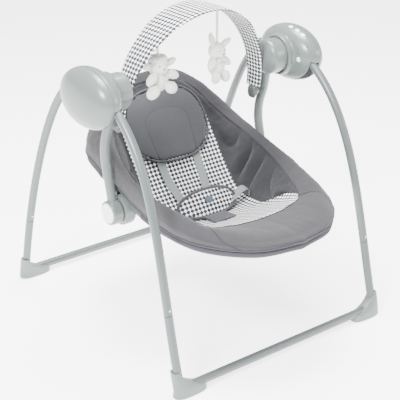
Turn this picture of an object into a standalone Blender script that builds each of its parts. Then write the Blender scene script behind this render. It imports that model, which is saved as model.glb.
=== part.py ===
"""Baby swing: two folding tube frames, two hub housings and a hammock seat hung on a pair of arms.

Metres, +Z up, the front of the swing faces -Y, and it is symmetric in X. The origin is on the floor
under the middle of the object's box. Right-hand pieces are modelled at +X and left-hand ones mirror them.
"""

import math

import bmesh
import bpy
from mathutils import Matrix, Vector
from mathutils.bvhtree import BVHTree

# ---------------------------------------------------------------- frame
HALF_TRACK = 0.325  # centre line to the axis of a leg at the floor
HALF_BASE = 0.379  # centre line to the axis of a floor tube
FLOOR_AXIS = 0.021  # height of a floor tube's axis
TUBE_R = 0.011
TUBE_WALL = 0.0012
BEND_TANGENT = 0.036  # how far a floor bend reaches along each straight
SNAP_Z = 0.217  # height of the spring buttons that join leg and base
SPIGOT_LENGTH = 0.034
SPIGOT_R = TUBE_R - TUBE_WALL - 0.0010
SNAP_R = 0.0033
SNAP_PROUD = 0.0022
FIT = 0.0003  # gap between pieces that touch

# ---------------------------------------------------------------- feet
BOOT_HALF_WIDTH = TUBE_R + 0.004  # at the floor
BOOT_TAPER = 0.0008  # how much narrower a boot is at its top, on each side
BOOT_REACH = 0.076  # from a bend's corner inwards along the floor tube
BOOT_OUT = 0.0185  # from the corner's axis to the boot's outer face at the floor
BOOT_HEIGHT = 0.065

# ---------------------------------------------------------------- hubs
HUB = Vector((0.3205, -0.018, 0.657))  # middle of a housing, on the swing and fold axis
HUB_OUT = 0.0485  # half-width of a housing along X
HUB_LONG = 0.110  # half-length along Y
HUB_TALL = 0.0755  # half-height
HUB_POWER = 2.3  # 2 is an ellipsoid, more is boxier
HUB_WALL = 0.0024
SEAM_X = 0.3235  # plane where the outer cover meets the inner housing
SEAM_GAP = 0.0008
LEG_TOP_X = 0.3105  # leg axis inside the hub
COLLAR_X = 0.2665  # inner face of the ring round the arm head
COLLAR_ROOT_X = 0.2845
RECESS_DEPTH = 0.012
AXLE_R = 0.008
BUSH_R = 0.0122
POST_R = 0.006
FOLD_SWEEP = math.radians(50)
FOLD_SLOT_START = 0.058  # distance from the fold axis
FOLD_BUTTON_R = 0.0070
SCREWS = ((0.2965, 0.040), (0.2990, -0.088))  # X, and Y from the hub's middle, on its top
SCREW_R = 0.0024
# Y from the hub's middle
CONTROL_BUTTONS = {"power_button": -0.012, "speed_button": -0.038, "melody_button": -0.060}
CONTROL_X = 0.3065
CONTROL_R = 0.0062
BATTERY_DOOR = (Vector((0.020, -0.078, -0.0235)), Vector((0.080, 0.064, 0.0235)))  # corners, from the hub's middle

# ---------------------------------------------------------------- inside the right-hand hub
CELL_R = 0.0131
CELL_LENGTH = 0.050
CELL_ROW = (-0.036, 0.018, 0.045)  # Y of each cell from the hub's middle
COIL_X = 0.294
COIL_R = 0.0064
COIL_TOP = -0.047  # Z from the hub's middle
LEVER_REACH = 0.0448  # from the axle down to the end that passes the coil
BOARD_Z = 0.0325  # from the hub's middle

# ---------------------------------------------------------------- swing arms
ARM_R = 0.0125
ARM_X = 0.2535
HEAD_R = 0.0472
RECESS_R = HEAD_R + 0.0015  # the bowl in the housing that the head turns in
COLLAR_R = RECESS_R + 0.0058
HEAD_INNER_X = 0.2175
HEAD_OUTER_X = 0.2740
SEAT_PIVOT = Vector((0.2535, 0.005, 0.327))
ARM_DISC_R = 0.0325
ARM_DISC = (0.2400, 0.2710)  # inner and outer face
BUTTON_R = 0.0265
BAR_PIVOT = Vector((0.2535, 0.020, 0.553))
BAR_PIN_R = 0.0045

# ---------------------------------------------------------------- seat
RECLINE_R = 0.040
RECLINE = (0.2055, 0.2385)  # inner and outer face of the recline housing
RECLINE_PIN_R = 0.009
PIN_START = 0.012  # how deep in the recline housing the arm's pin ends, from its inner face
LOOP_R = 0.008
BACK_TUBE_R = 0.0065
COVER_THICK = 0.005
SEAT_FRONT = 0.4420  # how far the seat's nose reaches in front of the centre line
PAD_GAP = 0.0014  # from the cover to what lies on it
HEADREST_THICK = 0.020
HEADREST_HALF_WIDTH = 0.118
HEADREST_HALF_LENGTH = 0.098
HEADREST_RUN = 0.1105  # from the head end of the cover to the headrest's middle, along the seat
BUCKLE_RUN = 0.392
BUCKLE_THICK = 0.013
LAP_PAD = Vector((0, -0.0620, 0.3190))
LAP_PAD_SIZE = (0.090, 0.035, 0.013)  # half-width, half-length and thickness
# Distance from the centre line, run along the seat, and height over the cover
SHOULDER_ROUTE = (
    (0.059, 0.214, 0),
    (0.057, 0.250, 0),
    (0.051, 0.290, 0),
    (0.044, 0.330, 0.001),
    (0.036, 0.362, 0.004),
)
WAIST_ROUTE = (
    (0.117, 0.384, 0.002),
    (0.101, 0.388, 0.004),
    (0.080, 0.391, 0.007),
    (0.056, 0.392, 0.006),
    (0.0335, 0.392, 0.0045),
)
WEBBING = 0.025
WEBBING_THICK = 0.0018

# ---------------------------------------------------------------- toy bar
BAR_HALF_SPAN = 0.220
BAR_FOOT_Z = 0.570
BAR_RISE = 0.262
BAR_THICK = 0.008
BAR_HALF_WIDTH = 0.028  # at its feet
BAR_CROWN_EXTRA = 0.034  # added half-width at the crown
BAR_FOOT_Y = 0.020
BAR_LEAN = 0.045  # how far the crown stands in front of the feet

# The seat is longer in front than the frame is, so everything is shifted to centre the box.
REAR_REACH = HALF_BASE + BOOT_HALF_WIDTH
CENTRE_SHIFT = (SEAT_FRONT - REAR_REACH) / 2

FINISHES = {  # colour (linear), roughness, metallic
    "plastic": ((0.45, 0.49, 0.48), 0.38, 0.0),
    "plastic_dark": ((0.22, 0.23, 0.23), 0.5, 0.0),
    "light_plastic": ((0.60, 0.61, 0.60), 0.4, 0.0),
    "painted_tube": ((0.42, 0.43, 0.43), 0.35, 0.6),
    "steel": ((0.55, 0.55, 0.56), 0.3, 1.0),
    "black_plastic": ((0.03, 0.03, 0.032), 0.45, 0.0),
    "fabric": ((0.22, 0.22, 0.235), 0.9, 0.0),
    "pad_fabric": ((0.19, 0.195, 0.205), 0.9, 0.0),
    "pattern_fabric": ((0.45, 0.45, 0.46), 0.9, 0.0),
    "webbing": ((0.45, 0.49, 0.47), 0.8, 0.0),
    "plush": ((0.85, 0.85, 0.84), 0.95, 0.0),
    "board": ((0.02, 0.18, 0.08), 0.5, 0.0),
    "cell": ((0.10, 0.10, 0.11), 0.4, 0.3),
}

PARTS = bpy.data.collections.new("baby_swing")
CUTTERS = bpy.data.collections.new("baby_swing_cutters")
BODIES = {}
X_AXIS, Y_AXIS, Z_AXIS = Vector((1, 0, 0)), Vector((0, 1, 0)), Vector((0, 0, 1))


# ================================================================ tools
def start_scene():
    for obj in list(bpy.data.objects):
        bpy.data.objects.remove(obj)
    for collection in (PARTS, CUTTERS):
        bpy.context.scene.collection.children.link(collection)


def new_object(name, mesh):
    obj = bpy.data.objects.new(name, mesh)
    PARTS.objects.link(obj)
    return obj


def object_from_bmesh(name, bm, closed=True):
    bmesh.ops.remove_doubles(bm, verts=bm.verts, dist=1e-6)
    if closed:
        bmesh.ops.recalc_face_normals(bm, faces=bm.faces)
    mesh = bpy.data.meshes.new(name)
    bm.to_mesh(mesh)
    bm.free()
    return new_object(name, mesh)


def apply(obj, closed=True):
    """Replaces an object's curve or modifiers by the mesh they make."""
    bpy.context.view_layer.update()
    graph = bpy.context.evaluated_depsgraph_get()
    mesh = bpy.data.meshes.new_from_object(obj.evaluated_get(graph))
    bm = bmesh.new()
    bm.from_mesh(mesh)
    bmesh.ops.remove_doubles(bm, verts=bm.verts, dist=1e-6)
    if closed:
        bmesh.ops.recalc_face_normals(bm, faces=bm.faces)
    bm.to_mesh(mesh)
    bm.free()
    if obj.type == "MESH":
        obj.modifiers.clear()
        obj.data = mesh
        return obj
    name, matrix = obj.name, obj.matrix_world.copy()
    bpy.data.objects.remove(obj)
    made = new_object(name, mesh)
    made.matrix_world = matrix
    return made


def boolean(obj, other, operation):
    modifier = obj.modifiers.new(operation.lower(), "BOOLEAN")
    modifier.operation = operation
    modifier.solver = "EXACT"
    modifier.object = other
    apply(obj)
    return obj


def cut(obj, *cutters):
    for cutter in cutters:
        boolean(obj, cutter, "DIFFERENCE")
        if cutter.name not in CUTTERS.objects:
            PARTS.objects.unlink(cutter)
            CUTTERS.objects.link(cutter)
            cutter.hide_render = True
            cutter.display_type = "WIRE"
    return obj


def join(obj, *others):
    for other in others:
        boolean(obj, other, "UNION")
        bpy.data.objects.remove(other)
    return obj


def box(name, low, high, bevel=0.0, segments=2):
    low, high = Vector(low), Vector(high)
    bm = bmesh.new()
    bmesh.ops.create_cube(bm, size=1.0)
    bm.transform(Matrix.Translation((low + high) / 2) @ Matrix.Diagonal((*(high - low), 1)))
    obj = object_from_bmesh(name, bm)
    if bevel:
        modifier = obj.modifiers.new("round", "BEVEL")
        modifier.width, modifier.segments = bevel, segments
        apply(obj)
    return obj


def rod(name, start, end, radius, segments=24, end_radius=None):
    start, end = Vector(start), Vector(end)
    run = end - start
    bm = bmesh.new()
    end_radius = radius if end_radius is None else end_radius
    bmesh.ops.create_cone(
        bm, cap_ends=True, segments=segments, radius1=radius, radius2=end_radius, depth=run.length
    )
    bm.transform(Matrix.Translation((start + end) / 2) @ run.to_track_quat("Z", "Y").to_matrix().to_4x4())
    return object_from_bmesh(name, bm)


def turned(name, centre, profile, segments=32):
    """A turned piece about an X-wise axis through centre; profile holds (x, radius) pairs."""
    bm = bmesh.new()
    verts = [bm.verts.new((radius, 0, x)) for x, radius in profile]
    for a, b in zip(verts, verts[1:]):
        bm.edges.new((a, b))
    obj = object_from_bmesh(name, bm, closed=False)
    screw = obj.modifiers.new("turn", "SCREW")
    screw.axis, screw.angle = "Z", math.tau
    screw.steps = screw.render_steps = segments
    screw.use_merge_vertices, screw.merge_threshold = True, 1e-5
    apply(obj)
    obj.data.transform(Matrix.Translation((0, centre[1], centre[2])) @ Matrix.Rotation(math.pi / 2, 4, "Y"))
    return obj


def tube(name, points, radius, wall=0.0, sides=10, scales=None):
    """A round tube along points; a wall makes it hollow and open at its ends."""
    curve = bpy.data.curves.new(name, "CURVE")
    curve.dimensions = "3D"
    curve.bevel_depth = radius
    curve.bevel_resolution = (sides - 4) // 2
    curve.use_fill_caps = not wall
    spline = curve.splines.new("POLY")
    spline.points.add(len(points) - 1)
    for i, (point, place) in enumerate(zip(spline.points, points)):
        point.co = (*place, 1)
        point.radius = scales[i] if scales else 1.0
    obj = new_object(name, curve)
    obj = apply(obj)
    if wall:
        modifier = obj.modifiers.new("wall", "SOLIDIFY")
        modifier.thickness, modifier.offset = wall, -1
        modifier.use_even_offset = True
        apply(obj)
    return obj


def loft(name, rings, capped=True):
    """A skin over rings of equal point counts; capped ends close it."""
    bm = bmesh.new()
    rows = [[bm.verts.new(point) for point in ring] for ring in rings]
    count = len(rows[0])
    for a, b in zip(rows, rows[1:]):
        for i in range(count):
            j = (i + 1) % count
            bm.faces.new((a[i], a[j], b[j], b[i]))
    if capped:
        bm.faces.new(rows[0])
        bm.faces.new(rows[-1])
    return object_from_bmesh(name, bm)


def ribbon(name, points, widths, thickness, across=X_AXIS):
    """A flat strap: at each point it lies along across and is thick along the normal of its run."""
    rings = []
    for i, point in enumerate(points):
        ahead = points[min(i + 1, len(points) - 1)] - points[max(i - 1, 0)]
        side = (across - ahead * (across.dot(ahead) / ahead.length_squared)).normalized()
        normal = side.cross(ahead).normalized()
        side, normal = side * widths[i] / 2, normal * thickness / 2
        rings.append([point + u * side + v * normal for u, v in ((1, 1), (-1, 1), (-1, -1), (1, -1))])
    return loft(name, rings)


def ellipsoid(name, centre, radii, turn=0.0, segments=12):
    bm = bmesh.new()
    bmesh.ops.create_uvsphere(bm, u_segments=segments, v_segments=segments // 2 + 1, radius=1.0)
    bm.transform(
        Matrix.Translation(Vector(centre)) @ Matrix.Rotation(turn, 4, "Y") @ Matrix.Diagonal((*radii, 1))
    )
    return object_from_bmesh(name, bm)


def bezier(p0, p1, p2, p3, t):
    s = 1 - t
    return p0 * s**3 + p1 * (3 * s * s * t) + p2 * (3 * s * t * t) + p3 * t**3


def smooth(points, count):
    """count points on a Catmull-Rom curve through points, evenly spread over its parameter."""
    made = []
    for k in range(count):
        u = k * (len(points) - 1) / (count - 1)
        i = min(int(u), len(points) - 2)
        t = u - i
        p1, p2 = points[i], points[i + 1]
        p0 = points[i - 1] if i else p1 * 2 - p2
        p3 = points[i + 2] if i + 2 < len(points) else p2 * 2 - p1
        made.append(
            (p1 * 2 + (p2 - p0) * t + (p0 * 2 - p1 * 5 + p2 * 4 - p3) * t**2 + (p1 * 3 - p0 - p2 * 3 + p3) * t**3)
            / 2
        )
    return made


def mirror_x(points):
    return [Vector((-p.x, p.y, p.z)) for p in reversed(points)]


def mirrored_copy(obj, name):
    mesh = obj.data.copy()
    mesh.transform(Matrix.Diagonal((-1, 1, 1, 1)))
    mesh.flip_normals()
    return new_object(name, mesh)


def finish(obj, finish_name, body):
    """Gives a finished piece its own material, smooth shading and its body."""
    colour, roughness, metallic = FINISHES[finish_name]
    material = bpy.data.materials.new(obj.name)
    material.use_nodes = True
    shader = material.node_tree.nodes["Principled BSDF"]
    shader.inputs["Base Color"].default_value = (*colour, 1)
    shader.inputs["Roughness"].default_value = roughness
    shader.inputs["Metallic"].default_value = metallic
    obj.data.materials.clear()
    obj.data.materials.append(material)
    obj.data.shade_smooth()
    obj.data.set_sharp_from_angle(angle=math.radians(35))
    obj.parent = BODIES[body]
    obj.matrix_parent_inverse = BODIES[body].matrix_world.inverted()
    return obj


def both_sides(obj, base_name, finish_name, body):
    """obj is the right-hand piece; its mirror image becomes the left-hand one."""
    obj.name = "right_" + base_name
    left = mirrored_copy(obj, "left_" + base_name)
    finish(obj, finish_name, body)
    finish(left, finish_name, body)


def make_bodies():
    """One empty for each rigid body, on its joint's axis."""
    places = {
        "root": Vector(),
        "front_frame": Vector((0, HUB.y, HUB.z)),
        "swing": Vector((0, HUB.y, HUB.z)),
        "seat": Vector((0, SEAT_PIVOT.y, SEAT_PIVOT.z)),
        "toy_bar": Vector((0, BAR_PIVOT.y, BAR_PIVOT.z)),
        "lamb": LAMB_HANG,
        "rabbit": RABBIT_HANG,
    }
    for name, place in places.items():
        empty = bpy.data.objects.new("body_" + name, None)
        CUTTERS.objects.link(empty)
        empty.location = place
        BODIES[name] = empty
    bpy.context.view_layer.update()


# ================================================================ frame
def rounded(angle, half_wide, half_tall, power=2.5):
    """A point on an outline between an ellipse and a rectangle."""
    x = math.copysign(abs(math.cos(angle)) ** (2 / power), math.cos(angle)) * half_wide
    y = math.copysign(abs(math.sin(angle)) ** (2 / power), math.sin(angle)) * half_tall
    return x, y


def leg_curve(front):
    """The leg's four Bezier points, from inside the hub down to the floor bend, on the right."""
    side = -1 if front else 1
    corner = Vector((HALF_TRACK, side * HALF_BASE, FLOOR_AXIS))
    lean = Vector((0, -side * 0.27, 1)).normalized()
    low = corner + lean * BEND_TANGENT
    if front:
        top = Vector((LEG_TOP_X, HUB.y - 0.057, HUB.z + 0.0095))
        upper = Vector((LEG_TOP_X, HUB.y - 0.253, HUB.z - 0.080))
        lower = Vector((HALF_TRACK, low.y + 0.0785, low.z + 0.287))
    else:
        top = Vector((LEG_TOP_X, HUB.y + 0.063, HUB.z + 0.011))
        upper = Vector((LEG_TOP_X, HUB.y + 0.178, HUB.z + 0.029))
        lower = Vector((HALF_TRACK, low.y - 0.0725, low.z + 0.314))
    return top, upper, lower, low, corner


def leg_points(front, start, end, count):
    curve = leg_curve(front)[:4]
    return [bezier(*curve, start + (end - start) * k / (count - 1)) for k in range(count)]


def leg_line(front):
    """The run of a leg tube from the hub to the snap joint, as straight pieces."""
    return leg_points(front, 0.0, leg_parameter_at(front, SNAP_Z - 0.014) - 0.0008, 10)


def leg_parameter_at(front, height):
    low, high = 0.0, 1.0
    curve = leg_curve(front)[:4]
    for _ in range(40):
        middle = (low + high) / 2
        if bezier(*curve, middle).z > height:
            low = middle
        else:
            high = middle
    return (low + high) / 2


def base_route(front, start, count=5, bend_steps=4):
    """The right half of a base tube, from parameter start on the leg to the centre plane."""
    low, corner = leg_curve(front)[3:]
    along_floor = corner - X_AXIS * BEND_TANGENT
    bend = [
        low * (1 - t) ** 2 + corner * (2 * t * (1 - t)) + along_floor * t**2
        for t in (k / bend_steps for k in range(1, bend_steps + 1))
    ]
    return leg_points(front, start, 1.0, count) + bend + [Vector((0, corner.y, corner.z))]


def snap_frame(front):
    """Where the spring button comes out of the front face of a leg."""
    t = leg_parameter_at(front, SNAP_Z)
    axis_point = bezier(*leg_curve(front)[:4], t)
    return axis_point


def make_frame_half(front):
    """A base tube, two upper legs, four-part feet and spring buttons, for the front or the rear frame."""
    word = "front" if front else "rear"
    body = "front_frame" if front else "root"
    joint = leg_parameter_at(front, SNAP_Z - 0.014)
    spigot_top = leg_parameter_at(front, SNAP_Z - 0.014 + SPIGOT_LENGTH)
    button_at = snap_frame(front)
    reach = Vector((0, TUBE_R + 0.004, 0))

    spigot = leg_points(front, spigot_top, joint, 3)
    shoulder = bezier(*leg_curve(front)[:4], joint + 0.006)
    right = spigot + [shoulder] + base_route(front, joint + 0.03)
    points = right + mirror_x(right)[1:]
    neck = SPIGOT_R / TUBE_R
    half_scales = [neck] * len(spigot) + [1.0] * (len(right) - len(spigot))
    base = tube(word + "_base_tube", points, TUBE_R, TUBE_WALL, 10, half_scales + half_scales[-2::-1])
    for sign in (1, -1):
        place = Vector((sign * button_at.x, button_at.y, button_at.z))
        cut(base, rod("cut_" + word + "_spigot", place, place - reach, SNAP_R + FIT, 16))
    finish(base, "painted_tube", body)

    leg = tube(word + "_leg", leg_line(front), TUBE_R, TUBE_WALL, 10)
    cut(leg, rod("cut_" + word + "_leg", button_at, button_at - reach, SNAP_R + FIT, 16))
    leg.name = word + "_right_leg"
    finish(mirrored_copy(leg, word + "_left_leg"), "painted_tube", body)
    finish(leg, "painted_tube", body)

    inside = SPIGOT_R - TUBE_WALL
    profile = [
        (inside - 0.0036, 0),
        (inside - 0.0036, 0.0044),
        (inside - 0.0022, 0.0044),
        (inside - 0.0022, SNAP_R),
        (TUBE_R + SNAP_PROUD - 0.0006, SNAP_R),
        (TUBE_R + SNAP_PROUD, SNAP_R - 0.001),
        (TUBE_R + SNAP_PROUD, 0),
    ]
    button = turned(word + "_snap", Vector(), profile, 16)
    button.data.transform(Matrix.Translation(button_at) @ Matrix.Rotation(-math.pi / 2, 4, "Z"))
    for sign, side in ((1, "right"), (-1, "left")):
        bodies_name = word + "_" + side + "_snap"
        empty = bpy.data.objects.new("body_" + bodies_name, None)
        CUTTERS.objects.link(empty)
        empty.location = (sign * button_at.x, button_at.y, button_at.z)
        BODIES[bodies_name] = empty
    bpy.context.view_layer.update()
    left = mirrored_copy(button, word + "_left_snap_button")
    button.name = word + "_right_snap_button"
    finish(left, "steel", word + "_left_snap")
    finish(button, "steel", word + "_right_snap")
    make_feet(front, word, body)


def make_feet(front, word, body):
    """A moulded boot that fills the outside of each floor bend down to a flat sole."""
    low, corner = leg_curve(front)[3:]
    lean = (low.y - corner.y) / (low.z - corner.z)
    rings = []
    for share in (0, 0.02, 0.12, 0.31, 0.46, 0.62, 0.77, 0.91, 1):
        z = BOOT_HEIGHT * share
        climb = max(z - FLOOR_AXIS, 0) / (BOOT_HEIGHT - FLOOR_AXIS)
        inner = corner.x - BOOT_REACH + (BOOT_REACH - 0.003) * math.sin(climb * math.pi / 2) ** 0.62
        outer = corner.x + BOOT_OUT - 0.0040 * share
        half = BOOT_HALF_WIDTH - BOOT_TAPER * share
        centre = Vector(((inner + outer) / 2, corner.y + lean * max(z - FLOOR_AXIS, 0), z))
        outline = [rounded(math.tau * k / 20, (outer - inner) / 2, half) for k in range(20)]
        rings.append([centre + Vector((x, y, 0)) for x, y in outline])
    boot = loft("boot", rings)
    route = base_route(front, leg_parameter_at(front, FLOOR_AXIS + BOOT_REACH), 3)[:-1]
    route.append(corner - X_AXIS * (BOOT_REACH + 0.02))
    cut(boot, tube("cut_boot", route, TUBE_R + 2 * FIT, 0, 10))
    boot.name = word + "_right_foot"
    finish(mirrored_copy(boot, word + "_left_foot"), "plastic", body)
    finish(boot, "plastic", body)


# ================================================================ hubs
def hub_scale(x):
    """How large the housing's oval section is at x, from 0 at the outer pole to 1 at its middle."""
    share = min(abs(x - HUB.x) / HUB_OUT, 1.0)
    return (1 - share**HUB_POWER) ** (1 / HUB_POWER)


def oval(x, half_long, half_tall, count=24):
    return [
        Vector((x, HUB.y + half_long * math.cos(a), HUB.z + half_tall * math.sin(a)))
        for a in (math.tau * k / count for k in range(count))
    ]


def hub_oval(x):
    return oval(x, HUB_LONG * hub_scale(x), HUB_TALL * hub_scale(x))


def shell(obj, thickness):
    """Gives an open skin whose normals point out of the housing a wall on its inside."""
    modifier = obj.modifiers.new("wall", "SOLIDIFY")
    modifier.thickness, modifier.offset = thickness, -1
    modifier.use_even_offset = True
    return apply(obj)


def open_loft(name, rings, pole=None):
    """A skin that stays open at its first ring, and at its last unless pole closes it."""
    bm = bmesh.new()
    rows = [[bm.verts.new(point) for point in ring] for ring in rings]
    count = len(rows[0])
    for a, b in zip(rows, rows[1:]):
        for i in range(count):
            j = (i + 1) % count
            bm.faces.new((a[i], a[j], b[j], b[i]))
    if pole is not None:
        tip = bm.verts.new(pole)
        for i in range(count):
            bm.faces.new((rows[-1][i], rows[-1][(i + 1) % count], tip))
    return object_from_bmesh(name, bm)


def outer_shell(name):
    """The domed cover outside a hub, with a cross-bar and the post that the folding knuckle turns on."""
    steps = 6
    xs = [SEAM_X + SEAM_GAP / 2]
    xs += [HUB.x + HUB_OUT * math.sin(math.radians(86 * k / steps)) for k in range(1, steps + 1)]
    skin = open_loft(name, [hub_oval(x) for x in xs], (HUB.x + HUB_OUT, HUB.y, HUB.z))
    shell(skin, HUB_WALL)
    near, far, reach = SEAM_X + 0.001, SEAM_X + 0.005, HUB_TALL - HUB_WALL / 2 - 0.0008
    bar = box("bar", (near, HUB.y - 0.004, HUB.z - reach), (far, HUB.y + 0.004, HUB.z + reach))
    post = rod("post", (LEG_TOP_X - 0.0125, HUB.y, HUB.z), (far - 0.001, HUB.y, HUB.z), POST_R)
    return join(skin, join(bar, post))


def inner_shell(name):
    """The housing behind the cover, with the round collar that the swing arm's head turns in."""
    steps = 4
    xs = [SEAM_X - SEAM_GAP / 2, HUB.x]
    depth = HUB.x - COLLAR_ROOT_X
    xs += [HUB.x - depth * math.sin(math.radians(90 * k / steps)) for k in range(1, steps + 1)]
    rings = [hub_oval(x) for x in xs]
    wall_x = COLLAR_X + RECESS_DEPTH
    for x, radius in (
        (COLLAR_ROOT_X - 0.0015, COLLAR_R + 0.0006),
        (COLLAR_X + 0.0012, COLLAR_R),
        (COLLAR_X, COLLAR_R - 0.0014),
        (COLLAR_X, RECESS_R),
        (wall_x, RECESS_R),
        (wall_x, BUSH_R + FIT),
    ):
        rings.append(oval(x, radius, radius))
    return shell(open_loft(name, rings), HUB_WALL)


def fold_slot(name):
    """The wedge that the front leg sweeps through the housing as it folds."""
    exit_angle, sweep, steps = math.radians(-14), FOLD_SWEEP + math.radians(30), 10
    near, far = FOLD_SLOT_START, HUB_LONG + 0.040
    half = TUBE_R + 4 * FIT
    angles = [exit_angle + sweep * k / steps for k in range(steps + 1)]
    outline = [(near, a) for a in angles] + [(far, a) for a in angles[::-1]]
    rings = [
        [Vector((x, HUB.y - r * math.cos(a), HUB.z - r * math.sin(a))) for r, a in outline]
        for x in (LEG_TOP_X - half, LEG_TOP_X + half)
    ]
    return loft(name, rings)


def rear_leg_hole(name):
    return tube(name, leg_line(False)[:4], TUBE_R + 0.0008, 0, 10)


def surface_frame(x, y):
    """Point and outward normal on the top of the inner housing."""
    scale = hub_scale(x)
    z = HUB_TALL * math.sqrt(max(scale**2 - (y / HUB_LONG) ** 2, 0))
    step = 1e-4
    wider = HUB_TALL * math.sqrt(max(hub_scale(x + step) ** 2 - (y / HUB_LONG) ** 2, 0))
    further = HUB_TALL * math.sqrt(max(scale**2 - ((y + step) / HUB_LONG) ** 2, 0))
    normal = Vector((-(wider - z) / step, -(further - z) / step, 1)).normalized()
    return Vector((x, HUB.y + y, HUB.z + z)), normal


def control_button(name, place, normal):
    """An oval push button that stands a little proud of the housing, with a stem to the board."""
    cap = rod(name, place - normal * 0.0060, place + normal * 0.0006, CONTROL_R, 16, CONTROL_R - 0.0008)
    flange = rod("flange", place - normal * 0.0078, place - normal * 0.0058, CONTROL_R + 0.0014, 16)
    return join(cap, flange)


def make_hubs():
    outer = outer_shell("hub_outer")
    inner = inner_shell("hub_inner")
    slot, rear = fold_slot("cut_fold_slot"), rear_leg_hole("cut_rear_leg")
    cut(inner, slot, rear)
    for x, y in SCREWS:
        place, normal = surface_frame(x, y)
        cut(inner, rod("cut_screw", place + normal * 0.003, place - normal * HUB_WALL / 2, SCREW_R, 12))
    fold_place = Vector((COLLAR_ROOT_X + 0.0005, HUB.y - 0.0715, HUB.z))
    way = X_AXIS * 0.02
    cut(inner, rod("cut_fold_button", fold_place - way, fold_place + way, FOLD_BUTTON_R + 0.0005, 20))
    left_inner = mirrored_copy(inner, "left_hub_inner_shell")
    left_outer = mirrored_copy(outer, "left_hub_outer_shell")
    finish(left_inner, "plastic", "root")
    finish(left_outer, "plastic", "root")

    add_fold_button(fold_place)
    for name, y in CONTROL_BUTTONS.items():
        place, normal = surface_frame(CONTROL_X, y)
        cut(inner, rod("cut_" + name, place + normal * 0.01, place - normal * 0.01, CONTROL_R + 0.0004, 20))
        add_body(name, place)
        finish(control_button(name, place, normal), "light_plastic", name)
    inner.name = "right_hub_inner_shell"
    finish(inner, "plastic", "root")
    make_battery_cover(outer)
    outer.name = "right_hub_outer_shell"
    finish(outer, "plastic", "root")
    make_hub_insides()
    make_knuckles()


def add_body(name, place):
    empty = bpy.data.objects.new("body_" + name, None)
    CUTTERS.objects.link(empty)
    empty.location = place
    BODIES[name] = empty
    bpy.context.view_layer.update()


def add_fold_button(place):
    """A round push button on the inner face of each hub that frees the front frame."""
    profile = [
        (place.x - 0.0030, 0),
        (place.x - 0.0030, FOLD_BUTTON_R - 0.0012),
        (place.x - 0.0018, FOLD_BUTTON_R),
        (place.x + 0.0052, FOLD_BUTTON_R),
        (place.x + 0.0052, FOLD_BUTTON_R + 0.0018),
        (place.x + 0.0070, FOLD_BUTTON_R + 0.0018),
        (place.x + 0.0070, 0),
    ]
    button = turned("fold_button", place, profile, 20)
    for sign, side in ((1, "right"), (-1, "left")):
        add_body(side + "_fold_button", Vector((sign * place.x, place.y, place.z)))
    left = mirrored_copy(button, "left_fold_button")
    button.name = "right_fold_button"
    finish(left, "light_plastic", "left_fold_button")
    finish(button, "light_plastic", "right_fold_button")


def make_battery_cover(outer):
    """The cover of the battery bay, cut from the right-hand dome."""
    low, high = (HUB + corner for corner in BATTERY_DOOR)
    gap = Vector((FIT, FIT, FIT))
    piece = new_object("battery_cover", outer.data.copy())
    keep = box("keep", low + gap, high - gap, 0.004, 3)
    boolean(piece, keep, "INTERSECT")
    bpy.data.objects.remove(keep)
    cut(outer, box("cut_window", low, high, 0.004, 3))
    finish(piece, "plastic", "root")


def make_hub_insides():
    for k, y in enumerate(CELL_ROW):
        low = HUB + Vector((0.0092 + CELL_R, y, -CELL_LENGTH / 2))
        cell = rod(f"battery_cell_{k + 1}", low, low + Z_AXIS * CELL_LENGTH, CELL_R, 16)
        finish(cell, "cell", "root")
    low = Vector((0.300, HUB.y - 0.070, HUB.z + BOARD_Z))
    board = box("circuit_board", low, low + Vector((0.034, 0.064, 0.0016)))
    finish(board, "board", "root")
    top = Vector((COIL_X, HUB.y, HUB.z + COIL_TOP))
    coil = rod("drive_coil", top - Z_AXIS * 0.0075, top, COIL_R, 20)
    join(coil, rod("core", top - Z_AXIS * 0.001, top + Z_AXIS * 0.0008, COIL_R / 2, 16))
    finish(coil, "steel", "root")
    speaker = turned(
        "speaker",
        HUB + Vector((0, 0.062, -0.012)),
        [(0.2915, 0), (0.2915, 0.010), (0.2945, 0.010), (0.2965, 0.0125), (0.2975, 0.0125), (0.2975, 0)],
        24,
    )
    finish(speaker, "black_plastic", "root")

    wall_x = COLLAR_X + RECESS_DEPTH
    bush = turned(
        "axle_bush",
        HUB,
        [
            (wall_x - 0.001, AXLE_R + FIT),
            (wall_x - 0.001, BUSH_R),
            (wall_x + HUB_WALL + FIT, BUSH_R),
            (wall_x + HUB_WALL + FIT, BUSH_R + 0.004),
            (wall_x + HUB_WALL + 0.0018, BUSH_R + 0.004),
            (wall_x + HUB_WALL + 0.0018, AXLE_R + FIT),
            (wall_x - 0.001, AXLE_R + FIT),
        ],
        24,
    )
    both_sides(bush, "axle_bush", "black_plastic", "root")

    axle = rod("axle", (HEAD_OUTER_X - 0.030, HUB.y, HUB.z), (LEG_TOP_X - 0.0140, HUB.y, HUB.z), AXLE_R)
    both_sides(axle, "axle", "steel", "swing")

    lever_x = (COIL_X - 0.004, COIL_X + 0.002)
    foot = HUB + Vector((0, -0.006, -LEVER_REACH))
    lever = box("magnet_lever", (lever_x[0], *foot.yz), (lever_x[1], HUB.y + 0.006, HUB.z), 0.001)
    eye = rod("eye", (lever_x[0], HUB.y, HUB.z), (lever_x[1], HUB.y, HUB.z), AXLE_R + 0.005)
    join(lever, eye)
    bore = rod("cut_eye", (0.28, HUB.y, HUB.z), (0.30, HUB.y, HUB.z), AXLE_R + FIT)
    finish(cut(lever, bore), "black_plastic", "swing")


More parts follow.
